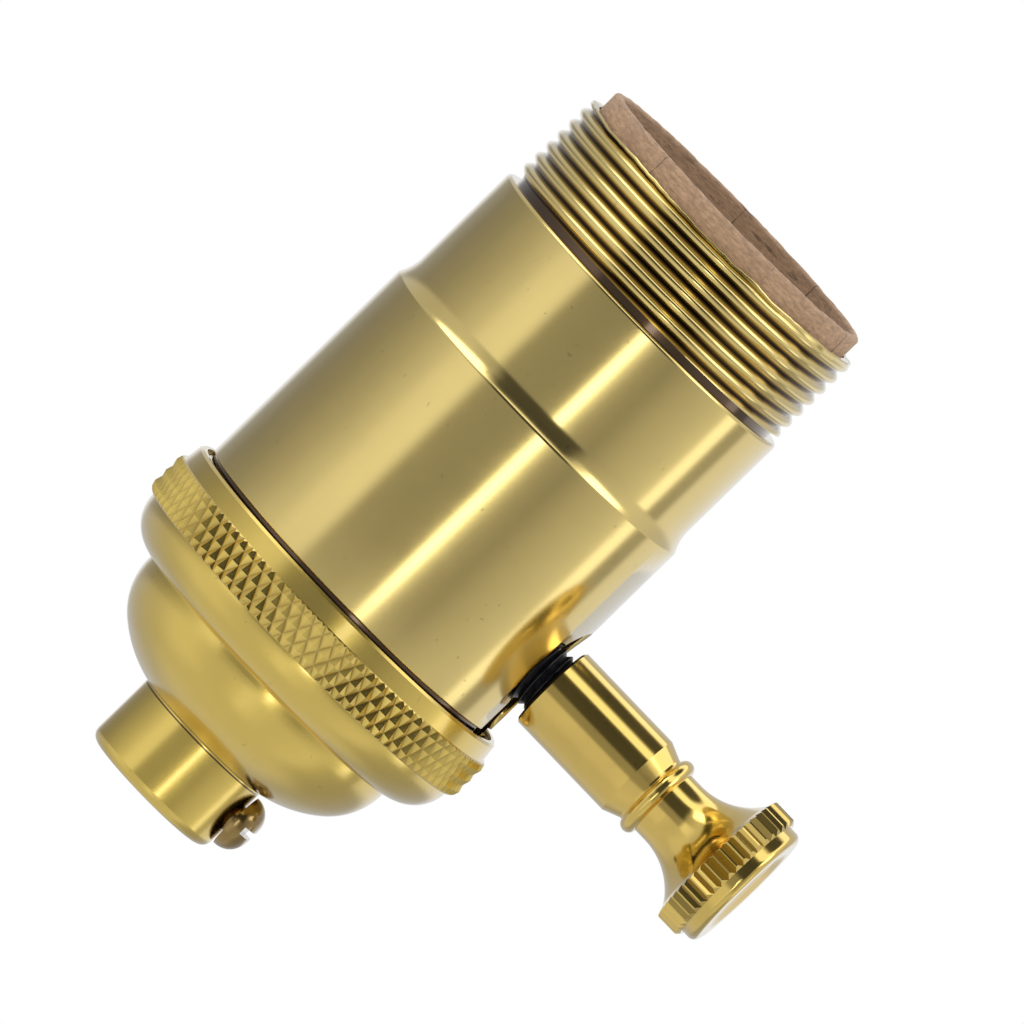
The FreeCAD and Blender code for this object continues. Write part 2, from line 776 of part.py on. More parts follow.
def make_switch_body():
    """Upper moulded half, the seat of the screw shell."""
    foot, top = "stem_level - overcut", "moulding_top + overcut"
    body = turned("switch_body", [
        ("0", "stem_level"),
        ("moulding_radius", "stem_level"),
        ("moulding_radius", "moulding_top"),
        ("0", "moulding_top"),
    ])
    cavity(body, foot, "cavity_roof")
    stem_bearings(body)
    strap_slots(body, foot, top)
    swept(body, "Pocket", "YZ_Plane", "0", "2 * strap_slot_half", loops=[
        rectangle("strap_reach - plate_margin", "moulding_top - plate_thickness",
                  "terminal_flat + overcut", top)])
    body_screw_holes(body, "body_screw_radius + body_screw_play", foot, top)
    body_screw_holes(body, "body_screw_head_radius + body_screw_head_play",
                     "body_screw_seat", top)
    rivet_holes(body, "moulding_top", "2 * shell_rivet_depth")
    contact_rivet_hole(body, "moulding_top", "2 * (moulding_top - cavity_roof + overcut)")
    return body


def rivet_holes(body, level, length):
    """Holes for the screw shell's two rivets."""
    swept(body, "Pocket", "XY_Plane", level, length, circles=[
        ("0", f"{side} * shell_rivet_offset", "shell_rivet_radius + rivet_play")
        for side in (1, -1)])


def contact_rivet_hole(body, level, length):
    """The hole for the centre contact's rivet."""
    swept(body, "Pocket", "XY_Plane", level, length, circles=[
        ("contact_rivet_offset", "0", "contact_rivet_radius + rivet_play")])


def make_body_screws():
    """The two long screws that hold the moulded halves together."""
    top = "(body_screw_seat + body_screw_head_height)"
    for name, side in (("body_screw_front", -1), ("body_screw_back", 1)):
        body = turned(name, [
            ("0", "body_screw_end"),
            ("body_screw_radius", "body_screw_end"),
            ("body_screw_radius", "body_screw_seat"),
            ("body_screw_head_radius", "body_screw_seat"),
            ("body_screw_head_radius", top),
            ("0", top),
        ])
        slot(body, f"{top} - body_screw_head_height * screw_slot_share",
             "body_screw_head_radius", top)
        place(body, across=f"{side} * body_screw_across", depth=f"{side} * body_screw_along")


# ---------------------------------------------------------------- lamp contacts

def make_screw_shell():
    """Brass shell that takes the lamp's cap: stepped in at its foot, floor turned in."""
    inside = "screw_shell_radius - screw_shell_wall"
    step_foot = "moulding_top + screw_shell_foot"
    body = turned("screw_shell", [
        ("floor_hole_radius", "moulding_top"),
        ("screw_shell_radius - screw_shell_step", "moulding_top"),
        ("screw_shell_radius - screw_shell_step", step_foot),
        ("screw_shell_radius", f"{step_foot} + screw_shell_step_height"),
        ("screw_shell_radius", "screw_shell_top"),
        (inside, "screw_shell_top"),
        (inside, f"{step_foot} + screw_shell_step_height"),
        (f"{inside} - screw_shell_step", step_foot),
        (f"{inside} - screw_shell_step", "moulding_top + screw_shell_wall"),
        ("floor_hole_radius", "moulding_top + screw_shell_wall"),
    ])
    rivet_holes(body, "moulding_top", "2 * (screw_shell_wall + overcut)")
    return body


def rivet(name, radius, head_radius, seat, head_height, depth):
    """A round-head rivet that points down from its seat."""
    return turned(name, [
        ("0", f"{seat} - {depth}"),
        (radius, f"{seat} - {depth}"),
        (radius, seat),
        (head_radius, seat),
        (head_radius, f"{seat} + {head_height} * rivet_edge_share"),
        (f"{head_radius} * rivet_crown_share", f"{seat} + {head_height}"),
        ("0", f"{seat} + {head_height}"),
    ])


def make_shell_rivets():
    """The two rivets through the screw shell's floor."""
    seat = "(moulding_top + screw_shell_wall)"
    for name, side in (("screw_shell_rivet_front", -1), ("screw_shell_rivet_back", 1)):
        body = rivet(name, "shell_rivet_radius", "shell_rivet_head_radius", seat,
                     "shell_rivet_head_height", "shell_rivet_depth")
        place(body, depth=f"{side} * shell_rivet_offset")


def make_centre_contact():
    """Bent leaf that meets the lamp's tip, riveted down at one end."""
    body = new_body("centre_contact")
    low = "moulding_top"
    high = "(moulding_top + contact_rise)"
    thick = "contact_thickness"
    swept(body, "Pad", "XZ_Plane", "0", "contact_width", loops=[[
        ("contact_foot_start", low),
        ("contact_foot_end", low),
        ("-1 * contact_pad_half", high),
        ("contact_pad_half", high),
        ("contact_pad_half + contact_tip", f"{high} - contact_tip"),
        (f"contact_pad_half + contact_tip + {thick}", f"{high} - contact_tip + {thick}"),
        (f"contact_pad_half + {thick} * inner_bend_share", f"{high} + {thick}"),
        (f"-1 * contact_pad_half - {thick} * outer_bend_share", f"{high} + {thick}"),
        (f"contact_foot_end - {thick} * outer_bend_share", f"{low} + {thick}"),
        ("contact_foot_start", f"{low} + {thick}"),
    ]])
    contact_rivet_hole(body, low, "2 * (contact_thickness + overcut)")
    return body


def make_contact_rivet():
    """The rivet that joins the centre contact to the switch's load spring."""
    seat = "(moulding_top + contact_thickness)"
    body = rivet("centre_contact_rivet", "contact_rivet_radius", "contact_rivet_head_radius",
                 seat, "contact_rivet_head_height", f"({seat} - cavity_roof + spring_thickness)")
    place(body, across="contact_rivet_offset")
    return body


# ---------------------------------------------------------------- terminals

def plate_outline(body, side):
    """Pad the flat plate of a terminal on its side of the moulding."""
    middle = f"{-side} * (terminal_flat + plate_thickness / 2)"
    swept(body, "Pad", "XZ_Plane", middle, "plate_thickness",
          loops=[rectangle("-1 * plate_half_width", "terminal_recess_bottom + plate_margin",
                           "plate_half_width", "terminal_recess_top - plate_margin")],
          circles=[("0", "terminal_level", "terminal_screw_radius + terminal_screw_play")])


def make_terminal_plates():
    """The line plate at the front and the neutral plate, with its strap, behind."""
    line = new_body("line_terminal_plate")
    plate_outline(line, -1)
    neutral = new_body("neutral_terminal_plate")
    plate_outline(neutral, 1)
    inner = "terminal_flat"
    outer = "(terminal_flat + plate_thickness)"
    swept(neutral, "Pad", "YZ_Plane", "0", "2 * strap_half_width", loops=[[
        (inner, "terminal_recess_top - plate_margin - overcut"),
        (outer, "terminal_recess_top - plate_margin - overcut"),
        (outer, "moulding_top"),
        ("strap_reach", "moulding_top"),
        ("strap_reach", "moulding_top - plate_thickness"),
        (inner, "moulding_top - plate_thickness"),
    ]])
    rivet_holes(neutral, "moulding_top", "2 * (plate_thickness + overcut)")


def make_terminal_screws():
    """Binding-head screws of the two terminals."""
    seat = "(terminal_flat + plate_thickness)"
    top = f"({seat} + terminal_head_height)"
    for name, turn_by in (("line_terminal_screw", 90), ("neutral_terminal_screw", -90)):
        body = turned(name, [
            ("0", f"{seat} - terminal_screw_length"),
            ("terminal_screw_radius", f"{seat} - terminal_screw_length"),
            ("terminal_screw_radius", seat),
            ("terminal_head_radius", seat),
            ("terminal_head_radius", f"{top} - terminal_head_edge"),
            ("terminal_head_radius - terminal_head_edge * 2", top),
            ("0", top),
        ])
        slot(body, f"{top} - terminal_head_height * screw_slot_share",
             "terminal_head_radius", top)
        place(body, level="terminal_level", rotation=Rotation(Vector(1, 0, 0), turn_by))


# ---------------------------------------------------------------- switch

def make_contact_springs():
    """The fixed contacts: the line spring on the wall, the load spring on the roof."""
    thick = "spring_thickness"
    near = "(rotor_radius + spring_clearance)"
    wall = "cavity_half_width"
    middle, span = between("spring_start", "spring_end")
    line = new_body("line_contact_spring")
    swept(line, "Pad", "YZ_Plane", middle, span, loops=[[
        (f"-1 * {wall}", "stem_level - spring_reach"),
        (f"-1 * {wall} + {thick}", "stem_level - spring_reach"),
        (f"-1 * {wall} + {thick}", "stem_level - spring_foot"),
        (f"-1 * {near}", "stem_level - spring_crown_half"),
        (f"-1 * {near}", "stem_level + spring_crown_half"),
        (f"-1 * {wall} + {thick}", "stem_level + spring_foot"),
        (f"-1 * {wall}", "stem_level + spring_foot"),
        (f"-1 * {near} - {thick}", "stem_level + spring_crown_half"),
        (f"-1 * {near} - {thick}", "stem_level - spring_crown_half"),
        (f"-1 * {wall}", "stem_level - spring_foot"),
    ]])
    load = new_body("load_contact_spring")
    swept(load, "Pad", "YZ_Plane", middle, span, loops=[[
        ("-1 * spring_foot", f"cavity_roof - {thick}"),
        (f"{wall} - 2 * {thick}", f"cavity_roof - {thick}"),
        (f"{wall} - 2 * {thick}", "stem_level + spring_foot"),
        (near, "stem_level + spring_crown_half"),
        (near, "stem_level - spring_crown_half"),
        (f"{near} + {thick}", "stem_level - spring_crown_half"),
        (f"{near} + {thick}", "stem_level + spring_crown_half"),
        (f"{wall} - {thick}", "stem_level + spring_foot"),
        (f"{wall} - {thick}", "cavity_roof"),
        ("-1 * spring_foot", "cavity_roof"),
    ]])
    contact_rivet_hole(load, "cavity_roof", "2 * (spring_thickness + overcut)")


def make_index_spring():
    """Leaf that the rotor's square rides on, standing on the cavity's floor."""
    thick = "spring_thickness"
    top = "(stem_level - index_half - spring_clearance)"
    inner = "(index_spring_half - spring_thickness)"
    body = new_body("index_spring")
    swept(body, "Pad", "YZ_Plane",
          *between("index_spring_start", "index_spring_end"), loops=[[
              ("-1 * index_spring_half", "cavity_floor"),
              (f"-1 * {inner}", "cavity_floor"),
              (f"-1 * {inner}", f"{top} - {thick}"),
              (inner, f"{top} - {thick}"),
              (inner, "cavity_floor"),
              ("index_spring_half", "cavity_floor"),
              ("index_spring_half", top),
              ("-1 * index_spring_half", top),
          ]])


def make_rotor():
    """Insulating drum on the stem: pivot, drum, waist and the index square."""
    body = new_body("rotor")
    pivot_end = "-1 * (rotor_half_length + rotor_pivot_length)"
    turn(body, [
        (pivot_end, "0"),
        (pivot_end, "rotor_pivot_radius"),
        ("-1 * rotor_half_length", "rotor_pivot_radius"),
        ("-1 * rotor_half_length", "rotor_radius"),
        ("drum_end", "rotor_radius"),
        ("drum_end", "rotor_waist_radius"),
        ("rotor_half_length", "rotor_waist_radius"),
        ("rotor_half_length", "0"),
    ], "H_Axis")
    cut = "index_corner"
    half = "index_half"
    swept(body, "Pad", "YZ_Plane", *between("index_start", "rotor_half_length"), loops=[[
              (f"-1 * {half}", f"-1 * {half} + {cut}"),
              (f"-1 * {half} + {cut}", f"-1 * {half}"),
              (f"{half} - {cut}", f"-1 * {half}"),
              (half, f"-1 * {half} + {cut}"),
              (half, f"{half} - {cut}"),
              (f"{half} - {cut}", half),
              (f"-1 * {half} + {cut}", half),
              (f"-1 * {half}", f"{half} - {cut}"),
          ]])
    drive = "(drive_half + drive_gap)"
    swept(body, "Pocket", "YZ_Plane",
          *between("drive_start - drive_end_gap", "rotor_half_length + overcut"),
          loops=[rectangle(f"-1 * {drive}", f"-1 * {drive}", drive, drive)])
    swept(body, "Pocket", "XZ_Plane", "0", "2 * (rotor_radius + overcut)", loops=[
        rectangle("bridge_start", "-1 * bridge_half_height", "bridge_end", "bridge_half_height")])
    place(body, level="stem_level")
    return body


def make_rotor_contact():
    """Brass bar through the drum that bridges the two springs."""
    body = new_body("rotor_contact")
    swept(body, "Pad", "YZ_Plane", *between("bridge_start", "bridge_end"),
          circles=[("0", "0", "rotor_radius")])
    swept(body, "Pocket", "XZ_Plane", "0", "2 * (rotor_radius + overcut)", loops=[
        rectangle("bridge_start - overcut", f"{side} * bridge_half_height",
                  "bridge_end + overcut", f"{side} * (rotor_radius + overcut)")
        for side in (1, -1)])
    place(body, level="stem_level")
    return body


def make_stem():
    """Black stem: square drive, plain journal and the length that takes the knob."""
    body = new_body("stem")
    turn(body, [
        ("rotor_half_length", "0"),
        ("rotor_half_length", "journal_radius"),
        ("stem_start", "journal_radius"),
        ("stem_start", "stem_radius - stem_chamfer"),
        ("stem_start + stem_chamfer", "stem_radius"),
        ("stem_end - stem_chamfer", "stem_radius"),
        ("stem_end", "stem_radius - stem_chamfer"),
        ("stem_end", "0"),
    ], "H_Axis")
    swept(body, "Pad", "YZ_Plane", *between("drive_start", "rotor_half_length"),
          loops=[rectangle("-1 * drive_half", "-1 * drive_half", "drive_half", "drive_half")])
    place(body, level="stem_level")
    return body


def make_stem_clip():
    """Ring on the journal that keeps the stem in the moulding."""
    outer_face = "(cavity_half_length - clip_clearance)"
    body = turned("stem_clip", [
        (f"{outer_face} - clip_thickness", "journal_radius"),
        (f"{outer_face} - clip_thickness", "clip_radius"),
        (outer_face, "clip_radius"),
        (outer_face, "journal_radius"),
    ], "H_Axis")
    place(body, level="stem_level")
    return body


# ---------------------------------------------------------------- knob

def make_knob():
    """Turned knob: sleeve, bead, flare and ribbed rim, bored for the stem."""
    bead_foot = "sqrt(bead_arc^2 - (knob_taper_radius - knob_neck_radius)^2)"
    flare_top = "(knob_neck_radius + flare_arc - sqrt(flare_arc^2 - (flare_end - flare_start)^2))"
    body = new_body("knob")
    turn(body, [
        ("knob_start", "knob_bore_radius"),
        ("knob_start", "knob_sleeve_radius - knob_edge"),
        ("knob_start + knob_edge", "knob_sleeve_radius"),
        ("knob_sleeve_end", "knob_sleeve_radius"),
        ("knob_taper_end", "knob_taper_radius"),
        (f"bead_centre - {bead_foot}", "knob_taper_radius", "arc", "bead_arc",
         "bead_centre", "knob_neck_radius"),
        ("bead_centre", "knob_neck_radius + bead_arc", "arc", "bead_arc",
         "bead_centre", "knob_neck_radius"),
        ("bead_centre + bead_arc", "knob_neck_radius"),
        ("flare_start", "knob_neck_radius", "arc", "flare_arc",
         "flare_start", "knob_neck_radius + flare_arc"),
        ("flare_end", flare_top),
        ("flare_end + ring_bevel", "ring_radius"),
        ("ring_end - ring_bevel", "ring_radius"),
        ("ring_end", "ring_radius - ring_bevel"),
        ("ring_end", "boss_radius"),
        ("boss_end - boss_rounding", "boss_radius", "arc", "boss_rounding",
         "boss_end - boss_rounding", "boss_radius - boss_rounding"),
        ("boss_end", "boss_radius - boss_rounding"),
        ("boss_end", "boss_dish_radius"),
        ("boss_end - boss_dish", "boss_dish_floor_radius"),
        ("boss_end - boss_dish", "0"),
        ("knob_bore_end", "0"),
        ("knob_bore_end", "knob_bore_radius"),
    ], "H_Axis")
    pattern(body, rib_groove(body), "rib_count", "X_Axis")
    place(body, level="stem_level")
    return body


def rib_groove(body):
    """One V groove across the knob's rim, at its top."""
    spread = "pi * ring_radius / rib_count * rib_fill * (rib_depth + rib_clear) / rib_depth"
    sketch = sketch_on(body, "YZ_Plane", "(flare_end + ring_end) / 2")
    Outline(sketch).draw([
        ("0", "ring_radius - rib_depth"),
        (spread, "ring_radius + rib_clear"),
        (f"-1 * {spread}", "ring_radius + rib_clear"),
    ])
    groove = body.newObject("PartDesign::Pocket", "rib_groove")
    groove.Profile = sketch
    groove.SideType = "Symmetric"
    groove.setExpression("Length", bound("ring_width + 2 * overcut"))
    return groove


# ---------------------------------------------------------------- the whole holder

def make_holder():
    """Every sub-part, from the case inwards and then what turns with the knob."""
    make_cap()
    make_set_screw()
    make_shell()
    make_paper_sleeve()
    make_cap_insulator()
    make_switch_base()
    make_switch_body()
    make_body_screws()
    make_screw_shell()
    make_shell_rivets()
    make_centre_contact()
    make_contact_rivet()
    make_terminal_plates()
    make_terminal_screws()
    make_contact_springs()
    make_index_spring()
    make_rotor()
    make_rotor_contact()
    make_stem()
    make_stem_clip()
    make_knob()


def write_parts():
    """Check every object and sub-part, then write one STEP file for each node."""
    document.recompute()
    failed = [thing.Label for thing in document.Objects
              if "Invalid" in thing.State or "Error" in thing.State]
    if failed:
        raise RuntimeError("these objects failed: " + ", ".join(failed))
    for body in NODES:
        if body.Shape.isNull() or not body.Shape.isValid():
            raise RuntimeError(body.Label + " has no valid shape")
    os.makedirs("parts", exist_ok=True)
    for body in NODES:
        body.Shape.exportStep(f"parts/{body.Label}.step")
        box = body.Shape.BoundBox
        print(f"{body.Label:26} {len(body.Shape.Solids)} solid {body.Shape.Volume:10.2f} mm3"
              f"  z {box.ZMin:6.2f} to {box.ZMax:6.2f}")


make_holder()
write_parts()
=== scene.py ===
"""Lamp holder: the finishes and fine forms of a turned brass turn-knob socket.

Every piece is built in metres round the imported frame. The origin is the middle
of the neck's lower face, +Z runs up to the mouth and the knob points along +X.
"""

import json
import math

import bmesh
import bpy
from bpy.props import FloatProperty, FloatVectorProperty, PointerProperty
from mathutils import Matrix, Vector, noise


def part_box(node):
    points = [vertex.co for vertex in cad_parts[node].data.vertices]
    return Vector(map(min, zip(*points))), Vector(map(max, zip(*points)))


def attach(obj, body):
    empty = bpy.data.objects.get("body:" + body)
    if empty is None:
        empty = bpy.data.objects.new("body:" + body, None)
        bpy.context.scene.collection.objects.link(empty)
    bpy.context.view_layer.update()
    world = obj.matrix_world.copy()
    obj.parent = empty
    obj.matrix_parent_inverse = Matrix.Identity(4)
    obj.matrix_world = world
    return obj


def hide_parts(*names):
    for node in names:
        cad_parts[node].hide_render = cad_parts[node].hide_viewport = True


bl_info = {
    "name": "Turn-knob lamp holder",
    "version": (1, 0, 0),
    "blender": (4, 5, 0),
    "location": "View3D > Sidebar > Lamp Holder",
    "description": "Finishes and fine forms of a turned brass lamp holder",
    "category": "Object",
}

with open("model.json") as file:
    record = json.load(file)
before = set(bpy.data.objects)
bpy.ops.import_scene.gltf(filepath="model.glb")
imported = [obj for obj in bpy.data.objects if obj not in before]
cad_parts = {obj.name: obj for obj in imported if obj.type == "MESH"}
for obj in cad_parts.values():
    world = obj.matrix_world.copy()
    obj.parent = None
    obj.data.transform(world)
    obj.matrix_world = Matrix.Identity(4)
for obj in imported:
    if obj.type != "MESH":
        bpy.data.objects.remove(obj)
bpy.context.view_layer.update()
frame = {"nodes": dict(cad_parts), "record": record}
NODES = frame["nodes"]
MOUNTS = {mount["name"]: mount for mount in frame["record"]["mounts"]}
SHELL_LOW, SHELL_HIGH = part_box("shell")
SLEEVE_LOW, SLEEVE_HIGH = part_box("paper_sleeve")
CAP_LOW, CAP_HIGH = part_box("cap")
SCREW_SHELL_LOW, SCREW_SHELL_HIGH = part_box("screw_shell")
STEM_LOW, STEM_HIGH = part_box("stem")
ROTOR_LOW, ROTOR_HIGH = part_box("rotor")
STEM_LEVEL = (STEM_LOW.z + STEM_HIGH.z) / 2
MM = 0.001
CREST_RADIUS = MOUNTS["shade_thread"]["dims"]["r_mm"] * MM
THREAD_LOW = SHELL_HIGH.z - 9.9 * MM
KNURL_RADIUS = CAP_HIGH.y
KNOB_SLEEVE_RADIUS = 4.36 * MM
NECK_RADIUS = 7.2 * MM
NECK_TOP = 7.0 * MM
KNURL_LOW = CAP_HIGH.z - 6.0 * MM
KNURL_HIGH = CAP_HIGH.z - 1.85 * MM
TURN = 2 * math.pi


# ---------------------------------------------------------------- sizes

def length(name, default, description):
    """A length property, in metres."""
    return FloatProperty(name=name, description=description, default=default,
                         min=0.0, unit="LENGTH", precision=5)


class ShellSizes(bpy.types.PropertyGroup):
    """Sizes of the shell and its shade thread."""
    wall: length("Wall", 0.6 * MM, "Thickness of the spun shell")
    step_level: length("Step level", 48.9 * MM, "Height of the step's lower edge")
    step_rise: length("Step", 0.63 * MM, "How much the shell narrows at the step")
    step_slope: length("Step slope", 1.09 * MM, "Height over which the step would narrow without its curve")
    step_round: length("Step curve", 1.05 * MM, "How far the step's cove runs from its corner")
    shoulder_level: length("Shoulder level", 62.2 * MM, "Height of the shoulder below the thread")
    relief_radius: length("Relief radius", 15.95 * MM, "Radius of the groove below the thread")
    relief_width: length("Relief width", 0.75 * MM, "Height of the groove below the thread")
    thread_pitch: length("Thread pitch", 1.411 * MM, "Pitch of the shade thread")
    thread_depth: length("Thread depth", 0.66 * MM, "Depth of the shade thread")
    land_bore: length("Land bore", 15.65 * MM, "Inner radius behind the thread")


class SleeveSizes(bpy.types.PropertyGroup):
    """Sizes of the paper sleeve."""
    wall: length("Wall", 1.0 * MM, "Thickness of the rolled paper")
    rim_round: length("Rim rounding", 0.42 * MM, "Rounding of the paper's edge")
    fuzz: length("Fuzz", 0.10 * MM, "How uneven the paper's edge is")


class ThreadSizes(bpy.types.PropertyGroup):
    """Sizes of the stem's thread and of the lamp's rolled thread."""
    stem_pitch: length("Stem pitch", 0.8 * MM, "Pitch of the stem's thread")
    stem_depth: length("Stem depth", 0.42 * MM, "Depth of the stem's thread")
    lamp_pitch: length("Lamp pitch", 3.629 * MM, "Pitch of the thread that takes the lamp")
    lamp_wave: length("Lamp wave", 0.42 * MM, "Half the depth of the rolled thread")
    lamp_wall: length("Lamp shell wall", 0.35 * MM, "Thickness of the rolled brass")


class Colours(bpy.types.PropertyGroup):
    """Base colours of the finishes."""
    brass: FloatVectorProperty(name="Brass", description="Colour of the case's brass",
                               subtype="COLOR", size=3, default=(0.80, 0.585, 0.120), min=0, max=1)
    shell: FloatVectorProperty(name="Shell brass", description="Colour of the shell's polished brass",
                               subtype="COLOR", size=3, default=(0.78, 0.60, 0.20), min=0, max=1)
    knob: FloatVectorProperty(name="Knob brass", description="Colour of the knob's brass",
                              subtype="COLOR", size=3, default=(0.79, 0.56, 0.125), min=0, max=1)
    paper: FloatVectorProperty(name="Paper", description="Colour of the insulating paper",
                               subtype="COLOR", size=3, default=(0.56, 0.36, 0.225), min=0, max=1)
    moulding: FloatVectorProperty(name="Moulding", description="Colour of the black mouldings",
                                  subtype="COLOR", size=3, default=(0.012, 0.011, 0.012), min=0, max=1)


# ---------------------------------------------------------------- materials

class Finish:
    """A material under construction, with short ways to add and join its nodes."""

    def __init__(self, name):
        self.material = bpy.data.materials.new(name)
        self.material.use_nodes = True
        self.tree = self.material.node_tree
        self.shader = self.tree.nodes["Principled BSDF"]

    def node(self, kind, inputs=None, **settings):
        """Add a node; an input takes a value or another node's output."""
        made = self.tree.nodes.new("ShaderNode" + kind)
        for name, value in settings.items():
            setattr(made, name, value)
        for name, value in (inputs or {}).items():
            self.feed(made, name, value)
        return made

    def feed(self, node, name, value):
        """Set an input, or link it where the value is an output."""
        if isinstance(value, bpy.types.NodeSocket):
            self.tree.links.new(value, node.inputs[name])
        else:
            node.inputs[name].default_value = value

    def surface(self, **inputs):
        """Set the shader's inputs; an underscore in a name stands for a space."""
        for name, value in inputs.items():
            self.feed(self.shader, name.replace("_", " "), value)
        return self.material

    def math(self, operation, first, second=0.0, third=0.0):
        """The output of a math node."""
        return self.node("Math", {0: first, 1: second, 2: third}, operation=operation).outputs[0]

    def place(self, scale=(1, 1, 1)):
        """Object coordinates, scaled."""
        coordinates = self.node("TexCoord").outputs["Object"]
        return self.node("Mapping", {"Vector": coordinates, "Scale": scale}).outputs[0]

    def noise(self, vector, scale, detail=3.0, roughness=0.5):
        """A noise pattern's value."""
        return self.node("TexNoise", {"Vector": vector, "Scale": scale, "Detail": detail,
                                      "Roughness": roughness}).outputs["Fac"]

    def streaks(self, sheet, scale, detail=3.0, roughness=0.5):
        """A noise pattern stretched over a flat pair of coordinates."""
        stretched = self.node("Mapping", {"Vector": sheet, "Scale": (*scale, 1)}).outputs[0]
        return self.noise(stretched, 1.0, detail, roughness)

    def ramp(self, value, *stops):
        """Colours or greys along a value: (position, grey or colour) stops."""
        made = self.node("ValToRGB", {"Fac": value})
        elements = made.color_ramp.elements
        while len(elements) < len(stops):
            elements.new(0.5)
        for element, (position, colour) in zip(elements, stops):
            element.position = position
            element.color = (colour,) * 3 + (1,) if isinstance(colour, (int, float)) else (*colour, 1)
        return made.outputs["Color"]

    def mix(self, factor, first, second):
        """The mix of two colours."""
        made = self.node("Mix", {0: factor}, data_type="RGBA")
        self.feed(made, 6, first if isinstance(first, bpy.types.NodeSocket) else (*first, 1))
        self.feed(made, 7, second if isinstance(second, bpy.types.NodeSocket) else (*second, 1))
        return made.outputs[2]

    def bump(self, height, distance, strength=1.0):
        """A bump from a height."""
        inputs = {"Height": height, "Distance": distance, "Strength": strength}
        return self.node("Bump", inputs).outputs["Normal"]

    def around_axis(self):
        """Distance from the Z axis, and height."""
        x, y, z = self.node("SeparateXYZ", {0: self.node("TexCoord").outputs["Object"]}).outputs
        squares = self.math("ADD", self.math("MULTIPLY", x, x), self.math("MULTIPLY", y, y))
        return self.math("SQRT", squares), z

    def unrolled(self, knob=False):
        """Object coordinates unrolled round Z, or round the knob's axis: (arc length, height)."""
        x, y, z = self.node("SeparateXYZ", {0: self.node("TexCoord").outputs["Object"]}).outputs
        if knob:
            angle = self.math("ARCTAN2", self.math("SUBTRACT", z, STEM_LEVEL), y)
            return self.math("MULTIPLY", angle, KNOB_SLEEVE_RADIUS), x
        return self.math("MULTIPLY", self.math("ARCTAN2", y, x), SHELL_HIGH.y), z


def shade(colour, factor):
    """A colour made darker or lighter."""
    return tuple(min(1.0, part * factor) for part in colour)


def brass_finish(name, colour, roughness, scratch, stain, shadow=(), knob=False):
    """Lacquered brass with a slanting brush, fine scratches, soft stains and specks.

    Painted shade darkens the colour in grooves: (lower level, upper level, dark radius, unshaded radius).
    """
    finish = Finish(name)
    arc, height = finish.unrolled(knob)
    slant = finish.node("CombineXYZ", {"X": finish.math("ADD", arc, height),
                                       "Y": finish.math("SUBTRACT", arc, height), "Z": 0.0}).outputs[0]
    lines = finish.streaks(slant, (350, 9000), 2.0, 0.6)
    coarse = finish.streaks(slant, (160, 2600), 2.0)
    cloud = finish.noise(finish.place(), 160.0, 3.0, 0.6)
    specks = finish.ramp(finish.noise(finish.place(), 1500.0, 1.0), (0.745, 0.0), (0.79, 1.0))
    tone = finish.ramp(cloud, (0.3, shade(colour, 1 - stain)), (0.7, colour))
    tone = finish.mix(finish.math("MULTIPLY", specks, 0.4), tone, shade(colour, 0.45))
    # Painted shade: each groove's colour runs towards near-black brown, standing in for the shade in the
    # groove.
    for low, high, dark, unshaded in shadow:
        tone = finish.mix(painted_groove_shade(finish, low, high, dark, unshaded), tone, PAINTED_GROOVE_SHADE)
    rough = finish.math("ADD", finish.math("MULTIPLY", lines, roughness * 0.5),
                        finish.math("MULTIPLY_ADD", cloud, roughness * 0.4, roughness * 0.6))
    relief = finish.math("MULTIPLY_ADD", coarse, 0.6, lines)
    return finish.surface(
        Base_Color=tone, Metallic=1.0, Roughness=rough,
        Coat_Weight=1.0, Coat_Roughness=0.07, Coat_IOR=1.5,
        Normal=finish.bump(relief, scratch, 0.35))


# Painted shade: the near-black brown that stands in for the shade in grooves.
PAINTED_GROOVE_SHADE = (0.09, 0.045, 0.014)
AGED_BRASS = (0.36, 0.23, 0.055)
ROLLED_BRASS = (0.78, 0.60, 0.27)
STEEL_DARK = (0.50, 0.50, 0.48)
STEEL_LIGHT = (0.66, 0.66, 0.63)
STEM_DARK = (0.006, 0.006, 0.009)
STEM_LIGHT = (0.016, 0.016, 0.022)
FIBRE_BROWN = (0.16, 0.13, 0.10)
# Where each groove's painted shade lies: lower level, upper level, dark radius, unshaded radius.
KNURL_SHADOW = (KNURL_LOW, KNURL_HIGH, KNURL_RADIUS - 0.75 * MM, KNURL_RADIUS - 0.15 * MM)
NECK_SHADOW = (NECK_TOP - 0.07 * MM, NECK_TOP + 0.07 * MM, NECK_RADIUS + 0.1 * MM, NECK_RADIUS + 0.3 * MM)
THREAD_SHADOW = (THREAD_LOW, SHELL_HIGH.z - 0.5 * MM, CREST_RADIUS - 0.62 * MM, CREST_RADIUS - 0.20 * MM)
RIM_SHADOW = (CAP_HIGH.z - 0.3 * MM, CAP_HIGH.z + 0.5 * MM,
              SHELL_HIGH.y - 0.25 * MM, SHELL_HIGH.y - 0.05 * MM)


def painted_groove_shade(finish, low, high, dark, unshaded):
    """Painted shade mask: 1 at the dark radius and 0 from the unshaded radius on, between two levels."""
    radius, z = finish.around_axis()
    depth = finish.node("MapRange", {"Value": radius, "From Min": dark, "From Max": unshaded,
                                     "To Min": 1.0, "To Max": 0.0},
                        interpolation_type="SMOOTHSTEP").outputs[0]
    above = finish.math("GREATER_THAN", z, low)
    below = finish.math("LESS_THAN", z, high)
    return finish.math("MULTIPLY", depth, finish.math("MULTIPLY", above, below))


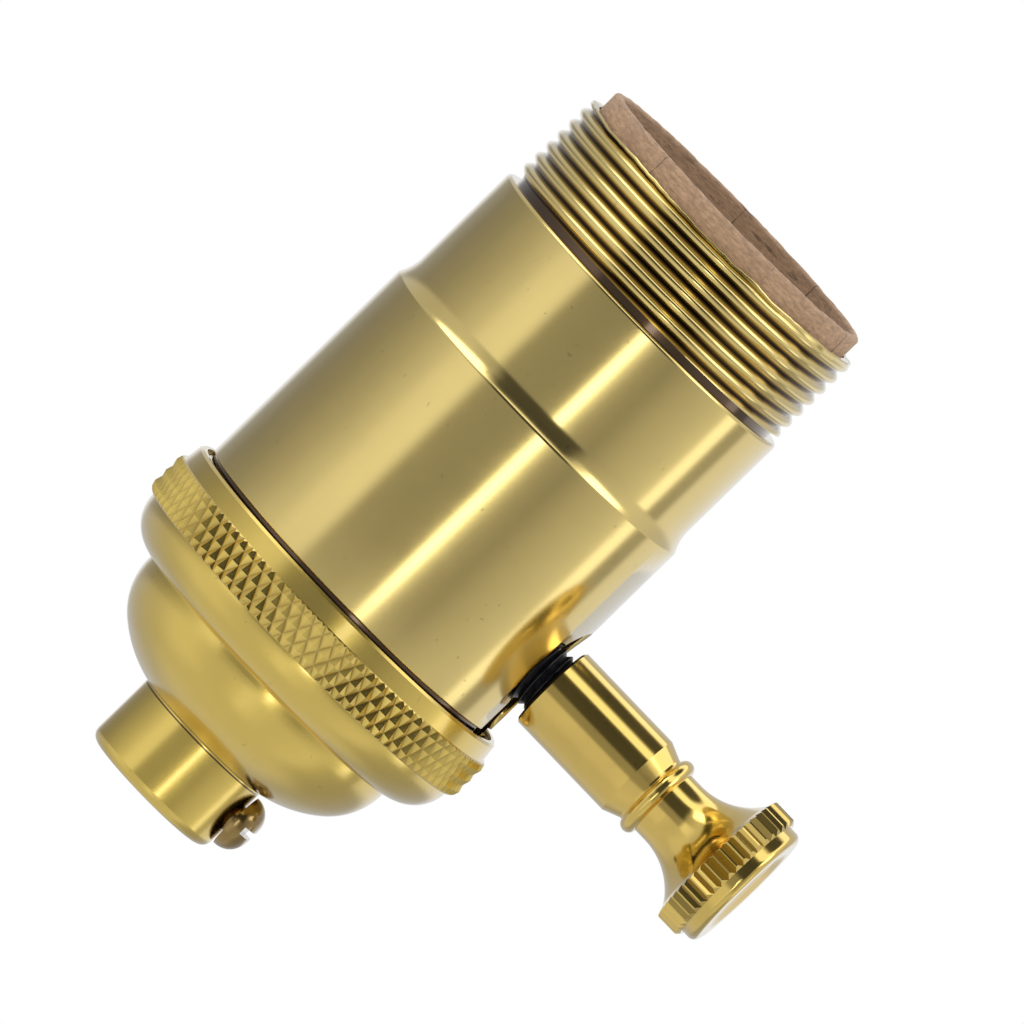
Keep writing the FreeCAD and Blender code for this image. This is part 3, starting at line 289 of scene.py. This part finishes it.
def make_finishes(colours):
    """Every material, by the record's slot."""
    made = {
        "brass": brass_finish("satin_brass", colours.brass, 0.22, 0.004 * MM, 0.06,
                              (KNURL_SHADOW, NECK_SHADOW)),
        "shell_brass": brass_finish("polished_brass", colours.shell, 0.15, 0.003 * MM, 0.05,
                                    (THREAD_SHADOW, RIM_SHADOW)),
        "brass_knob": brass_finish("bright_brass", colours.knob, 0.13, 0.002 * MM, 0.12, knob=True),
        "screw_brass": brass_finish("aged_brass", AGED_BRASS, 0.2, 0.003 * MM, 0.45),
        "contact_brass": brass_finish("rolled_brass", ROLLED_BRASS, 0.26, 0.003 * MM, 0.12),
    }
    steel = Finish("plated_steel")
    grain = steel.noise(steel.place((1, 1, 14)), 700.0)
    made["steel"] = steel.surface(
        Base_Color=steel.ramp(grain, (0.3, STEEL_DARK), (0.7, STEEL_LIGHT)),
        Metallic=1.0, Roughness=steel.math("MULTIPLY_ADD", grain, 0.2, 0.22),
        Normal=steel.bump(grain, 0.004 * MM, 0.5))
    black = Finish("black_moulding")
    grain = black.noise(black.place(), 900.0)
    made["phenolic"] = black.surface(
        Base_Color=black.ramp(grain, (0.3, shade(colours.moulding, 0.8)),
                              (0.7, shade(colours.moulding, 1.6))),
        Roughness=black.math("MULTIPLY_ADD", grain, 0.25, 0.32),
        Normal=black.bump(grain, 0.01 * MM, 0.4))
    stem = Finish("stem_black")
    grain = stem.noise(stem.place(), 1500.0)
    made["stem_black"] = stem.surface(
        Base_Color=stem.ramp(grain, (0.35, STEM_DARK), (0.7, STEM_LIGHT)),
        Roughness=stem.math("MULTIPLY_ADD", grain, 0.2, 0.2),
        Normal=stem.bump(grain, 0.006 * MM, 0.4))
    made["paper"] = paper_finish("insulating_paper", colours.paper, FOLDS)
    made["fibre"] = paper_finish("vulcanised_fibre", FIBRE_BROWN)
    return made


PAPER_MIDDLE = SLEEVE_HIGH.y - 0.75 * MM
TORN_LOW = SLEEVE_HIGH.z - 1.6 * MM
# Degrees round from the knob, and how wide each fold line of the paper is.
FOLDS = ((-16, 0.37 * MM), (-117, 0.30 * MM), (-64, 0.29 * MM), (95, 0.33 * MM), (55, 0.38 * MM))


def paper_finish(name, colour, folds=()):
    """Brown rolled paper: long fibres, soft mottling, dark torn flecks, a few fold lines and painted shade
    on its inner face.
    """
    finish = Finish(name)
    arc, height = finish.unrolled()
    sheet = finish.node("CombineXYZ", {"X": arc, "Y": height, "Z": 0.0}).outputs[0]
    fibres = finish.streaks(sheet, (900, 3600), 4.0, 0.7)
    mottle = finish.noise(finish.place(), 420.0, 4.0, 0.65)
    tone = finish.mix(finish.ramp(fibres, (0.3, 0.0), (0.7, 1.0)),
                      shade(colour, 1.25), shade(colour, 0.62))
    tone = finish.mix(finish.ramp(mottle, (0.45, 0.0), (0.75, 0.5)), tone, shade(colour, 0.55))
    relief = finish.math("MULTIPLY_ADD", mottle, 1.5, fibres)
    if folds:
        radius, z = finish.around_axis()
        inner = finish.math("LESS_THAN", radius, PAPER_MIDDLE)
        torn = finish.ramp(finish.streaks(sheet, (260, 1500), 3.0, 0.6), (0.56, 0.0), (0.66, 1.0))
        rim = finish.math("GREATER_THAN", z, TORN_LOW)
        flecks = finish.math("MULTIPLY", finish.math("MULTIPLY", torn, inner),
                             finish.math("MULTIPLY", rim, 0.8))
        tone = finish.mix(flecks, tone, shade(colour, 0.16))
        # Painted shade: the paper's inner face is darkened, standing in for the shade inside the mouth.
        tone = finish.mix(finish.math("MULTIPLY", inner, 0.35), tone, shade(colour, 0.5))
        for fold, width in folds:
            place = math.radians(fold) * SHELL_HIGH.y
            away = finish.math("ABSOLUTE", finish.math("SUBTRACT", arc, place))
            wander = finish.math("MULTIPLY_ADD", mottle, 0.5 * MM, away)
            line = finish.math("LESS_THAN", wander, width)
            tone = finish.mix(finish.math("MULTIPLY", line, 0.75), tone, shade(colour, 0.2))
    return finish.surface(Base_Color=tone, Roughness=0.9, Sheen_Weight=0.1, Sheen_Roughness=0.6,
                          Specular_IOR_Level=0.2, Normal=finish.bump(relief, 0.09 * MM, 1.0))


FINISHES = {}


def dress(piece, slot, body="holder", finish=None):
    """Give a new piece its material, picked by its slot unless a finish is named, and its body."""
    piece.data.materials.clear()
    piece.data.materials.append(FINISHES[finish or slot])
    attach(piece, body)


# ---------------------------------------------------------------- mesh helpers

def finished(name, bm, sharp=32.0):
    """Make an object of a bmesh: doubles merged, faces outwards, smooth but for sharp edges."""
    bmesh.ops.remove_doubles(bm, verts=bm.verts, dist=1e-7)
    bmesh.ops.recalc_face_normals(bm, faces=bm.faces)
    mesh = bpy.data.meshes.new(name)
    bm.to_mesh(mesh)
    bm.free()
    mesh.shade_smooth()
    mesh.set_sharp_from_angle(angle=math.radians(sharp))
    piece = bpy.data.objects.new(name, mesh)
    bpy.context.scene.collection.objects.link(piece)
    return piece


def wire(bm, corners, closed=False, segments=5):
    """A profile in the XZ plane; a corner is (radius, level) and a rounding, if it has one."""
    verts = [bm.verts.new((corner[0], 0, corner[1])) for corner in corners]
    ends = verts[1:] + verts[:1] if closed else verts[1:]
    for first, second in zip(verts, ends):
        bm.edges.new((first, second))
    roundings = sorted({corner[2] for corner in corners if len(corner) > 2})
    for rounding in roundings:
        chosen = [vert for vert, corner in zip(verts, corners)
                  if len(corner) > 2 and corner[2] == rounding]
        bmesh.ops.bevel(bm, geom=chosen, affect="VERTICES", offset=rounding, offset_type="OFFSET",
                        segments=segments, profile=0.5, material=-1)


def outline_of(corners, segments=5):
    """The profile's points in order, its corners rounded: (radius, level) each."""
    bm = bmesh.new()
    wire(bm, corners, segments=segments)
    here = next(v for v in bm.verts if len(v.link_edges) == 1
                and (v.co - Vector((corners[0][0], 0, corners[0][1]))).length < 1e-6)
    points, seen = [], set()
    while here:
        points.append((here.co.x, here.co.z))
        seen.add(here)
        ahead = (edge.other_vert(here) for edge in here.link_edges)
        here = next((vert for vert in ahead if vert not in seen), None)
    bm.free()
    return points


def helix(corners, pitch, low, high, steps, segments=4):
    """A right-hand thread about Z, cut level at both ends; its lower and upper rings come back."""
    bm = bmesh.new()
    turns = math.ceil((high - low) / pitch) + 2
    start = low - 1.5 * pitch
    wire(bm, [(corner[0], corner[1] + start, *corner[2:]) for corner in corners], segments=segments)
    bmesh.ops.spin(bm, geom=bm.verts[:] + bm.edges[:], cent=(0, 0, 0), axis=(0, 0, 1),
                   dvec=(0, 0, pitch / steps), angle=TURN * turns, steps=steps * turns, use_merge=False)
    bmesh.ops.remove_doubles(bm, verts=bm.verts, dist=2e-6)
    rings = []
    for level, above in ((low, False), (high, True)):
        cut = bmesh.ops.bisect_plane(bm, geom=bm.verts[:] + bm.edges[:] + bm.faces[:], dist=1e-8,
                                     plane_co=(0, 0, level), plane_no=(0, 0, 1),
                                     clear_outer=above, clear_inner=not above)
        rings.append([g for g in cut["geom_cut"] if isinstance(g, bmesh.types.BMEdge)])
    return bm, rings[0], rings[1]


def ring_to(bm, ring, radius, level):
    """Extrude a ring of edges to a circle; the new ring comes back."""
    grown = bmesh.ops.extrude_edge_only(bm, edges=ring)["geom"]
    verts = [g for g in grown if isinstance(g, bmesh.types.BMVert)]
    for vert in verts:
        flat = Vector((vert.co.x, vert.co.y)).normalized() * radius
        vert.co = (flat.x, flat.y, level)
    chosen = set(verts)
    return [g for g in grown if isinstance(g, bmesh.types.BMEdge) and set(g.verts) <= chosen]


def prism(name, outline, depth_from, depth_to):
    """A cutter along X from (depth, level) points of the YZ plane."""
    bm = bmesh.new()
    face = bm.faces.new([bm.verts.new((depth_from, y, z)) for y, z in outline])
    grown = bmesh.ops.extrude_face_region(bm, geom=[face])["geom"]
    bmesh.ops.translate(bm, verts=[g for g in grown if isinstance(g, bmesh.types.BMVert)],
                        vec=(depth_to - depth_from, 0, 0))
    return finished(name, bm)


def cut_away(piece, *cutters):
    """Subtract the cutters from a piece and remove them."""
    for cutter in cutters:
        modifier = piece.modifiers.new("cut", "BOOLEAN")
        modifier.object = cutter
        modifier.operation = "DIFFERENCE"
        modifier.solver = "EXACT"
    bpy.context.view_layer.update()
    graph = bpy.context.evaluated_depsgraph_get()
    cut = bpy.data.meshes.new_from_object(piece.evaluated_get(graph))
    piece.modifiers.clear()
    old = piece.data
    piece.data = cut
    cut.name = piece.name
    bpy.data.meshes.remove(old)
    for cutter in cutters:
        bpy.data.objects.remove(cutter)


# The stem's keyhole: each window's radius and half its slot's width, its level and its reach along X.
SHELL_WINDOW = (5.5 * MM, 4.0 * MM)
PAPER_WINDOW = (5.2 * MM, 3.7 * MM)
WINDOW_LEVEL = STEM_LEVEL + 0.4 * MM
WINDOW_REACH = (0.012, 0.026)
WINDOW_POINTS = 64
LIP_HEIGHT = 0.9 * MM
LIP_DROP = 0.25 * MM
LIP_FLARE = 0.06 * MM


def keyhole(radius, half_slot, centre, foot):
    """The cutters of the stem's keyhole: a round window and a slot to the foot."""
    turns = [TURN * i / WINDOW_POINTS for i in range(WINDOW_POINTS)]
    window = [(radius * math.cos(angle), centre + radius * math.sin(angle)) for angle in turns]
    slot = [(-half_slot, foot), (half_slot, foot), (half_slot, centre), (-half_slot, centre)]
    return (prism("keyhole_window", window, *WINDOW_REACH), prism("keyhole_slot", slot, *WINDOW_REACH))


def worn_lip(bm, mouth):
    """Make the thin lip above the last turn uneven."""
    for vert in bm.verts:
        near = (vert.co.z - mouth + LIP_HEIGHT) / LIP_HEIGHT
        if near > 0:
            flat = Vector((vert.co.x, vert.co.y, 0)).normalized()
            wave = noise.noise(flat * 4.5) + 0.4 * noise.noise(flat * 17)
            vert.co.z -= max(0.0, 0.25 + wave) * near * LIP_DROP
            vert.co += flat * noise.noise(flat * 9) * near * LIP_FLARE


# ---------------------------------------------------------------- operators

class HOLDER_OT_finishes(bpy.types.Operator):
    """Make the materials and dress the pieces that keep their own shape"""
    bl_idname = "holder.finishes"
    bl_label = "Finishes"

    def execute(self, context):
        FINISHES.update(make_finishes(context.scene.holder_colours))
        for name, node in NODES.items():
            slot = node.data.materials[0].name.split(".")[0]
            node.data.materials.clear()
            node.data.materials.append(FINISHES[slot])
        return {"FINISHED"}


THREAD_CROWN = 0.27 * MM
THREAD_ROUND = 0.6 * MM
LIP_WALL_DROP = 0.14 * MM
RIM_GAP_DEPTH = 0.3 * MM


class HOLDER_OT_shell(bpy.types.Operator):
    """Shell with its step, shoulder, shade thread and keyhole"""
    bl_idname = "holder.shell"
    bl_label = "Shell"

    def execute(self, context):
        size = context.scene.holder_shell
        radius, foot, mouth = SHELL_HIGH.y, SHELL_LOW.z, SHELL_HIGH.z
        upper = radius - size.step_rise
        crest = CREST_RADIUS
        root = crest - size.thread_depth
        low = size.shoulder_level + size.relief_width
        high = mouth - 0.5 * MM
        pitch = size.thread_pitch
        bm, lower, upper_ring = helix([
            (root, 0), (crest + THREAD_CROWN, pitch * 0.5, THREAD_ROUND), (root, pitch)],
            pitch, low, high, 200, 6)
        steps = outline_of([
            (crest - LIP_WALL_DROP, mouth - 0.28 * MM), (crest - 0.16 * MM, mouth, 0.16 * MM),
            (size.land_bore, mouth, 0.1 * MM),
            (size.land_bore, size.shoulder_level),
            (upper - size.wall, size.shoulder_level - size.wall, 0.3 * MM),
            (upper - size.wall, size.step_level + size.step_slope, size.step_round),
            (radius - size.wall, size.step_level),
            (radius - size.wall, foot, 0.1 * MM),
            (radius, foot, 0.12 * MM),
            (radius, CAP_HIGH.z - 0.3 * MM),
            (radius - RIM_GAP_DEPTH, CAP_HIGH.z - 0.2 * MM),
            (radius - RIM_GAP_DEPTH, CAP_HIGH.z + 0.36 * MM),
            (radius, CAP_HIGH.z + 0.46 * MM, 0.08 * MM),
            (radius, size.step_level, 0.14 * MM),
            (upper, size.step_level + size.step_slope, size.step_round),
            (upper, size.shoulder_level, 0.4 * MM),
            (size.relief_radius, size.shoulder_level),
            (size.relief_radius, low)], 6)
        ring = upper_ring
        for point in steps:
            ring = ring_to(bm, ring, *point)
        bmesh.ops.bridge_loops(bm, edges=ring + lower)
        worn_lip(bm, mouth)
        shell = finished("brass_shell", bm)
        cut_away(shell, *keyhole(*SHELL_WINDOW, WINDOW_LEVEL, foot - 1 * MM))
        dress(shell, "brass", finish="shell_brass")
        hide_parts("shell")
        return {"FINISHED"}


RIM_RING = 0.4 * MM
WORN_DEPTH = 5 * MM
WORN_FADE = 4 * MM


class HOLDER_OT_sleeve(bpy.types.Operator):
    """Rolled paper sleeve with its worn edge"""
    bl_idname = "holder.sleeve"
    bl_label = "Paper sleeve"

    def execute(self, context):
        size = context.scene.holder_sleeve
        outer, foot, top = SLEEVE_HIGH.y, SLEEVE_LOW.z, SLEEVE_HIGH.z
        inner = outer - size.wall
        bm = bmesh.new()
        levels = [top - RIM_RING * i for i in range(1, 14)]
        wire(bm, [(outer, foot), *((outer, level) for level in reversed(levels)),
                  (outer, top, size.rim_round), (inner, top, size.rim_round),
                  *((inner, level) for level in levels), (inner, foot)], closed=True)
        bmesh.ops.spin(bm, geom=bm.verts[:] + bm.edges[:], cent=(0, 0, 0), axis=(0, 0, 1),
                       angle=TURN, steps=220, use_merge=True)
        for vert in bm.verts:
            if vert.co.z < top - WORN_DEPTH:
                continue
            near = min(1.0, max(0.0, (vert.co.z - top + WORN_DEPTH) / WORN_FADE))
            wave = noise.noise(vert.co * 180) * 1.2 + noise.noise(vert.co * 1100) * 0.8
            out = Vector((vert.co.x, vert.co.y, 0)).normalized()
            vert.co += (out * wave * 0.6 - Vector((0, 0, abs(wave)))) * size.fuzz * near
        sleeve = finished("paper_lining", bm, 60.0)
        cut_away(sleeve, *keyhole(*PAPER_WINDOW, WINDOW_LEVEL, foot - 1 * MM))
        dress(sleeve, "paper")
        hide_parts("paper_sleeve")
        return {"FINISHED"}


LAMP_FOOT = 5.2 * MM
LAMP_LIP = 1.6 * MM
LAMP_FLOOR_BORE = 7.0 * MM


class HOLDER_OT_lamp_shell(bpy.types.Operator):
    """Rolled brass shell that takes the lamp"""
    bl_idname = "holder.lamp_shell"
    bl_label = "Lamp shell"

    def execute(self, context):
        size = context.scene.holder_threads
        bore = MOUNTS["lamp_screw_shell"]["dims"]["r_mm"] * MM
        outer, foot, top = SCREW_SHELL_HIGH.y, SCREW_SHELL_LOW.z, SCREW_SHELL_HIGH.z
        middle = outer - size.lamp_wall / 2
        pitch, wave = size.lamp_pitch, size.lamp_wave
        low, high = foot + LAMP_FOOT, top - LAMP_LIP
        bm, lower, upper_ring = helix([
            (middle - 2 * wave, 0), (middle - 2 * wave, pitch * 0.25, pitch * 0.12),
            (middle, pitch * 0.5, pitch * 0.12), (middle, pitch * 0.75, pitch * 0.12),
            (middle - 2 * wave, pitch)], pitch, low, high, 128, 4)
        ring = ring_to(bm, upper_ring, middle, top - 0.9 * MM)
        ring_to(bm, ring, middle, top)
        ring = lower
        step, floor = bore - 0.5 * MM, foot + 0.2 * MM
        for point in outline_of([(step, low - 0.5 * MM), (step, floor, 0.7 * MM),
                                 (LAMP_FLOOR_BORE, floor)], 6):
            ring = ring_to(bm, ring, *point)
        shell = finished("lamp_shell", bm, 50.0)
        solid = shell.modifiers.new("wall", "SOLIDIFY")
        solid.thickness = size.lamp_wall
        solid.offset = 0
        dress(shell, "contact_brass")
        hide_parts("screw_shell")
        return {"FINISHED"}


STEM_THREAD_START = 14.9 * MM
STEM_NECK_RADIUS = 2.4 * MM
DRIVE_WIDTH = 3 * MM


class HOLDER_OT_stem(bpy.types.Operator):
    """Black threaded stem of the switch"""
    bl_idname = "holder.stem"
    bl_label = "Stem"

    def execute(self, context):
        size = context.scene.holder_threads
        crest = STEM_HIGH.z - STEM_LEVEL
        root = crest - size.stem_depth
        pitch = size.stem_pitch
        start, end = STEM_THREAD_START, STEM_HIGH.x
        bm, lower, upper_ring = helix([
            (root, 0), (crest, pitch * 0.5, 0.12 * MM), (root, pitch)], pitch,
            start + 0.3 * MM, end - 0.4 * MM, 96, 3)
        ring = ring_to(bm, upper_ring, root, end)
        bmesh.ops.holes_fill(bm, edges=ring)
        ring = ring_to(bm, lower, root, start)
        for point in ((STEM_NECK_RADIUS, start), (STEM_NECK_RADIUS, ROTOR_HIGH.x)):
            ring = ring_to(bm, ring, *point)
        bmesh.ops.holes_fill(bm, edges=ring)
        drive = bmesh.ops.create_cube(bm, size=1.0)["verts"]
        low, high = STEM_LOW.x, ROTOR_HIGH.x
        bmesh.ops.scale(bm, vec=(DRIVE_WIDTH, DRIVE_WIDTH, high - low), verts=drive)
        bmesh.ops.translate(bm, vec=(0, 0, (low + high) / 2), verts=drive)
        bmesh.ops.rotate(bm, verts=bm.verts, cent=(0, 0, 0), matrix=Matrix.Rotation(math.pi / 2, 3, "Y"))
        bmesh.ops.translate(bm, verts=bm.verts, vec=(0, 0, STEM_LEVEL))
        stem = finished("threaded_stem", bm)
        dress(stem, "stem_black", "turn_knob")
        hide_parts("stem")
        return {"FINISHED"}


# ---------------------------------------------------------------- stage

class HOLDER_OT_stage(bpy.types.Operator):
    """Floor, light tent, background and camera"""
    bl_idname = "holder.stage"
    bl_label = "Stage"

    def execute(self, context):
        scene = context.scene
        make_floor()
        make_tent()
        make_world(scene)
        make_camera(scene)
        scene.view_settings.view_transform = "Standard"
        return {"FINISHED"}


def white_for_camera(finish, plain):
    """White to the camera and through clear pieces, and a plain surface to all other light."""
    path = finish.node("LightPath").outputs
    seen = finish.math("MAXIMUM", path["Is Camera Ray"], path["Is Transmission Ray"])
    glow = finish.node("Emission", {"Color": (1, 1, 1, 1), "Strength": 1.0}).outputs[0]
    mixed = finish.node("MixShader", {0: seen, 1: plain, 2: glow}).outputs[0]
    output = finish.tree.nodes["Material Output"]
    finish.tree.links.new(mixed, output.inputs["Surface"])


FLOOR_HALF = 3.0
FLOOR_DROP = 0.2 * MM


def make_floor():
    """A pale floor under the holder's neck."""
    bm = bmesh.new()
    bmesh.ops.create_grid(bm, x_segments=1, y_segments=1, size=FLOOR_HALF)
    bmesh.ops.translate(bm, verts=bm.verts, vec=(0, 0, -FLOOR_DROP))
    floor = finished("floor", bm)
    finish = Finish("pale_floor")
    finish.surface(Base_Color=(0.8, 0.8, 0.8, 1), Roughness=0.8)
    white_for_camera(finish, finish.shader.outputs[0])
    floor.data.materials.append(finish.material)
    floor.visible_glossy = False


CAMERA_AZIMUTH = 5.0
CAMERA_ELEVATION = 4.3
CAMERA_ROLL = 44.2
CAMERA_LENS = 1060.0
SENSOR = 36.0
VIEW_WIDTH = 91.7 * MM
TARGET_LEVEL = 41.05 * MM
TARGET_SIDE = 4.84 * MM
TENT_RADIUS = 0.7
# Each band of the tent: degrees round from the camera towards the knob, and how bright it is there.
TOP_BAND = ((-180, 0.60), (-100, 0.60), (-90, 3.00), (-50, 3.00), (-42, 0.60), (-33, 0.07),
            (36, 0.07), (42, 0.60), (52, 1.20), (58, 3.00), (86, 3.00), (94, 0.80), (180, 0.60))
UPPER_BAND = ((-180, 0.60), (-100, 0.55), (-60, 0.75), (-38, 0.52), (-30, 0.08), (33, 0.08),
              (42, 0.42), (62, 0.60), (90, 0.80), (130, 0.60), (180, 0.60))
LEVEL_BAND = ((-180, 0.85), (-164, 0.85), (-152, 0.36), (-130, 0.28), (-108, 0.34), (-84, 0.50),
              (-66, 0.72), (-56, 0.95), (-40, 1.05), (-37, 0.85), (-33, 0.38), (-12, 0.35),
              (9, 0.38), (10, 3.20), (15, 3.20), (17, 0.95), (24, 0.45), (38, 0.34), (52, 0.50),
              (72, 0.66), (88, 0.80), (91, 1.60), (98, 1.60), (101, 0.40), (112, 0.40),
              (115, 0.88), (150, 0.84), (180, 0.85))
LOWER_BAND = ((-180, 0.55), (-150, 0.50), (-108, 0.58), (-78, 0.80), (-58, 0.82), (-40, 0.70),
              (-24, 0.66), (-8, 0.74), (-2, 0.95), (5, 0.95), (12, 0.78), (30, 0.66), (50, 0.72),
              (70, 0.80), (86, 0.50), (108, 0.42), (150, 0.42), (180, 0.55))
GROUND_LEVEL = 0.68
CROWN_LEVEL = 1.5
ZENITH_LEVEL = 0.08
WORLD_LEVEL = 0.9


def band(finish, share, stops):
    """How bright one band of the tent is, along its turn."""
    peak = max(level for _, level in stops)
    ramp = finish.ramp(share, *(((angle + 180) / 360, level / peak) for angle, level in stops))
    return finish.math("MULTIPLY", ramp, peak)


def blend(finish, elevation, start, end, first, second):
    """One level below the start elevation and another above the end, in degrees."""
    share = finish.node("MapRange", {"Value": elevation, "From Min": math.radians(start),
                                     "From Max": math.radians(end)}, interpolation_type="SMOOTHSTEP")
    return finish.node("Mix", {0: share.outputs[0], 2: first, 3: second}).outputs[0]


def make_tent():
    """A round light tent with bright and dim strips, which the metal mirrors."""
    bm = bmesh.new()
    bmesh.ops.create_uvsphere(bm, u_segments=96, v_segments=48, radius=TENT_RADIUS)
    bmesh.ops.reverse_faces(bm, faces=bm.faces)
    mesh = bpy.data.meshes.new("light_tent")
    bm.to_mesh(mesh)
    bm.free()
    tent = bpy.data.objects.new("light_tent", mesh)
    bpy.context.scene.collection.objects.link(tent)
    finish = Finish("tent_cloth")
    x, y, z = finish.node("SeparateXYZ", {0: finish.node("TexCoord").outputs["Object"]}).outputs
    azimuth = finish.math("ARCTAN2", x, finish.math("MULTIPLY", y, -1.0))
    turned_by = finish.math("SUBTRACT", azimuth, math.radians(CAMERA_AZIMUTH))
    share = finish.math("FRACT", finish.math("ADD", finish.math("DIVIDE", turned_by, TURN), 1.5))
    elevation = finish.math("ARCSINE", finish.math("DIVIDE", z, TENT_RADIUS))
    low = blend(finish, elevation, -62, -40, GROUND_LEVEL, band(finish, share, LOWER_BAND))
    level = blend(finish, elevation, -14, -5, low, band(finish, share, LEVEL_BAND))
    high = blend(finish, elevation, 9, 16, level, band(finish, share, UPPER_BAND))
    top = blend(finish, elevation, 32, 37, high, band(finish, share, TOP_BAND))
    crown = blend(finish, elevation, 50, 53, top, CROWN_LEVEL)
    glow = finish.node("Emission", {"Color": (1, 1, 1, 1),
                                    "Strength": blend(finish, elevation, 66, 76, crown, ZENITH_LEVEL)})
    output = finish.tree.nodes["Material Output"]
    finish.tree.links.new(glow.outputs[0], output.inputs["Surface"])
    tent.data.materials.append(finish.material)
    tent.visible_camera = False
    tent.visible_diffuse = False
    tent.visible_shadow = False


def make_world(scene):
    """A white background, which also lights what isn't metal."""
    world = bpy.data.worlds.new("studio")
    scene.world = world
    world.use_nodes = True
    tree = world.node_tree
    path = tree.nodes.new("ShaderNodeLightPath").outputs
    seen = path["Is Camera Ray"]
    for ray in ("Is Glossy Ray", "Is Transmission Ray"):
        either = tree.nodes.new("ShaderNodeMath")
        either.operation = "MAXIMUM"
        tree.links.new(seen, either.inputs[0])
        tree.links.new(path[ray], either.inputs[1])
        seen = either.outputs[0]
    level = tree.nodes.new("ShaderNodeMapRange")
    level.inputs["To Min"].default_value = WORLD_LEVEL
    level.inputs["To Max"].default_value = 1.0
    tree.links.new(seen, level.inputs["Value"])
    tree.links.new(level.outputs[0], tree.nodes["Background"].inputs["Strength"])
    tree.nodes["Background"].inputs["Color"].default_value = (1, 1, 1, 1)


def make_camera(scene):
    """A long lens, rolled so that the holder leans to the right."""
    azimuth, elevation, roll = (math.radians(a) for a in (CAMERA_AZIMUTH, CAMERA_ELEVATION, CAMERA_ROLL))
    back = Vector((math.sin(azimuth) * math.cos(elevation),
                   -math.cos(azimuth) * math.cos(elevation), math.sin(elevation)))
    level = Vector((math.cos(azimuth), math.sin(azimuth), 0))
    upright = back.cross(level)
    right = upright * math.cos(roll) + level * math.sin(roll)
    up = upright * math.sin(roll) - level * math.cos(roll)
    target = Vector((0, 0, TARGET_LEVEL)) + level * TARGET_SIDE
    camera = bpy.data.objects.new("camera", bpy.data.cameras.new("camera"))
    scene.collection.objects.link(camera)
    camera.data.lens = CAMERA_LENS
    camera.data.sensor_width = SENSOR
    camera.data.clip_start = 0.05
    distance = VIEW_WIDTH * CAMERA_LENS / SENSOR
    turn = Matrix((right, up, back)).transposed().to_4x4()
    camera.matrix_world = Matrix.Translation(target + back * distance) @ turn
    scene.camera = camera


# ---------------------------------------------------------------- panel and run

class HOLDER_PT_panel(bpy.types.Panel):
    """Lists the steps that dress the lamp holder"""
    bl_idname = "HOLDER_PT_panel"
    bl_label = "Lamp Holder"
    bl_space_type = "VIEW_3D"
    bl_region_type = "UI"
    bl_category = "Lamp Holder"

    def draw(self, context):
        for step in STEPS:
            self.layout.operator(step.bl_idname)


STEPS = (HOLDER_OT_finishes, HOLDER_OT_shell, HOLDER_OT_sleeve, HOLDER_OT_lamp_shell,
         HOLDER_OT_stem, HOLDER_OT_stage)
GROUPS = {"holder_shell": ShellSizes, "holder_sleeve": SleeveSizes, "holder_threads": ThreadSizes,
          "holder_colours": Colours}


def register():
    """Register the sizes, the steps and the panel."""
    for group in (*GROUPS.values(), *STEPS, HOLDER_PT_panel):
        bpy.utils.register_class(group)
    for name, group in GROUPS.items():
        setattr(bpy.types.Scene, name, PointerProperty(type=group))


def unregister():
    """Take the sizes, the steps and the panel away again."""
    for name in GROUPS:
        delattr(bpy.types.Scene, name)
    for group in (HOLDER_PT_panel, *reversed(STEPS), *reversed(list(GROUPS.values()))):
        bpy.utils.unregister_class(group)


def main():
    """Run every step in order."""
    register()
    for step in STEPS:
        family, name = step.bl_idname.split(".")
        getattr(getattr(bpy.ops, family), name)()


if __name__ == "__main__":
    main()
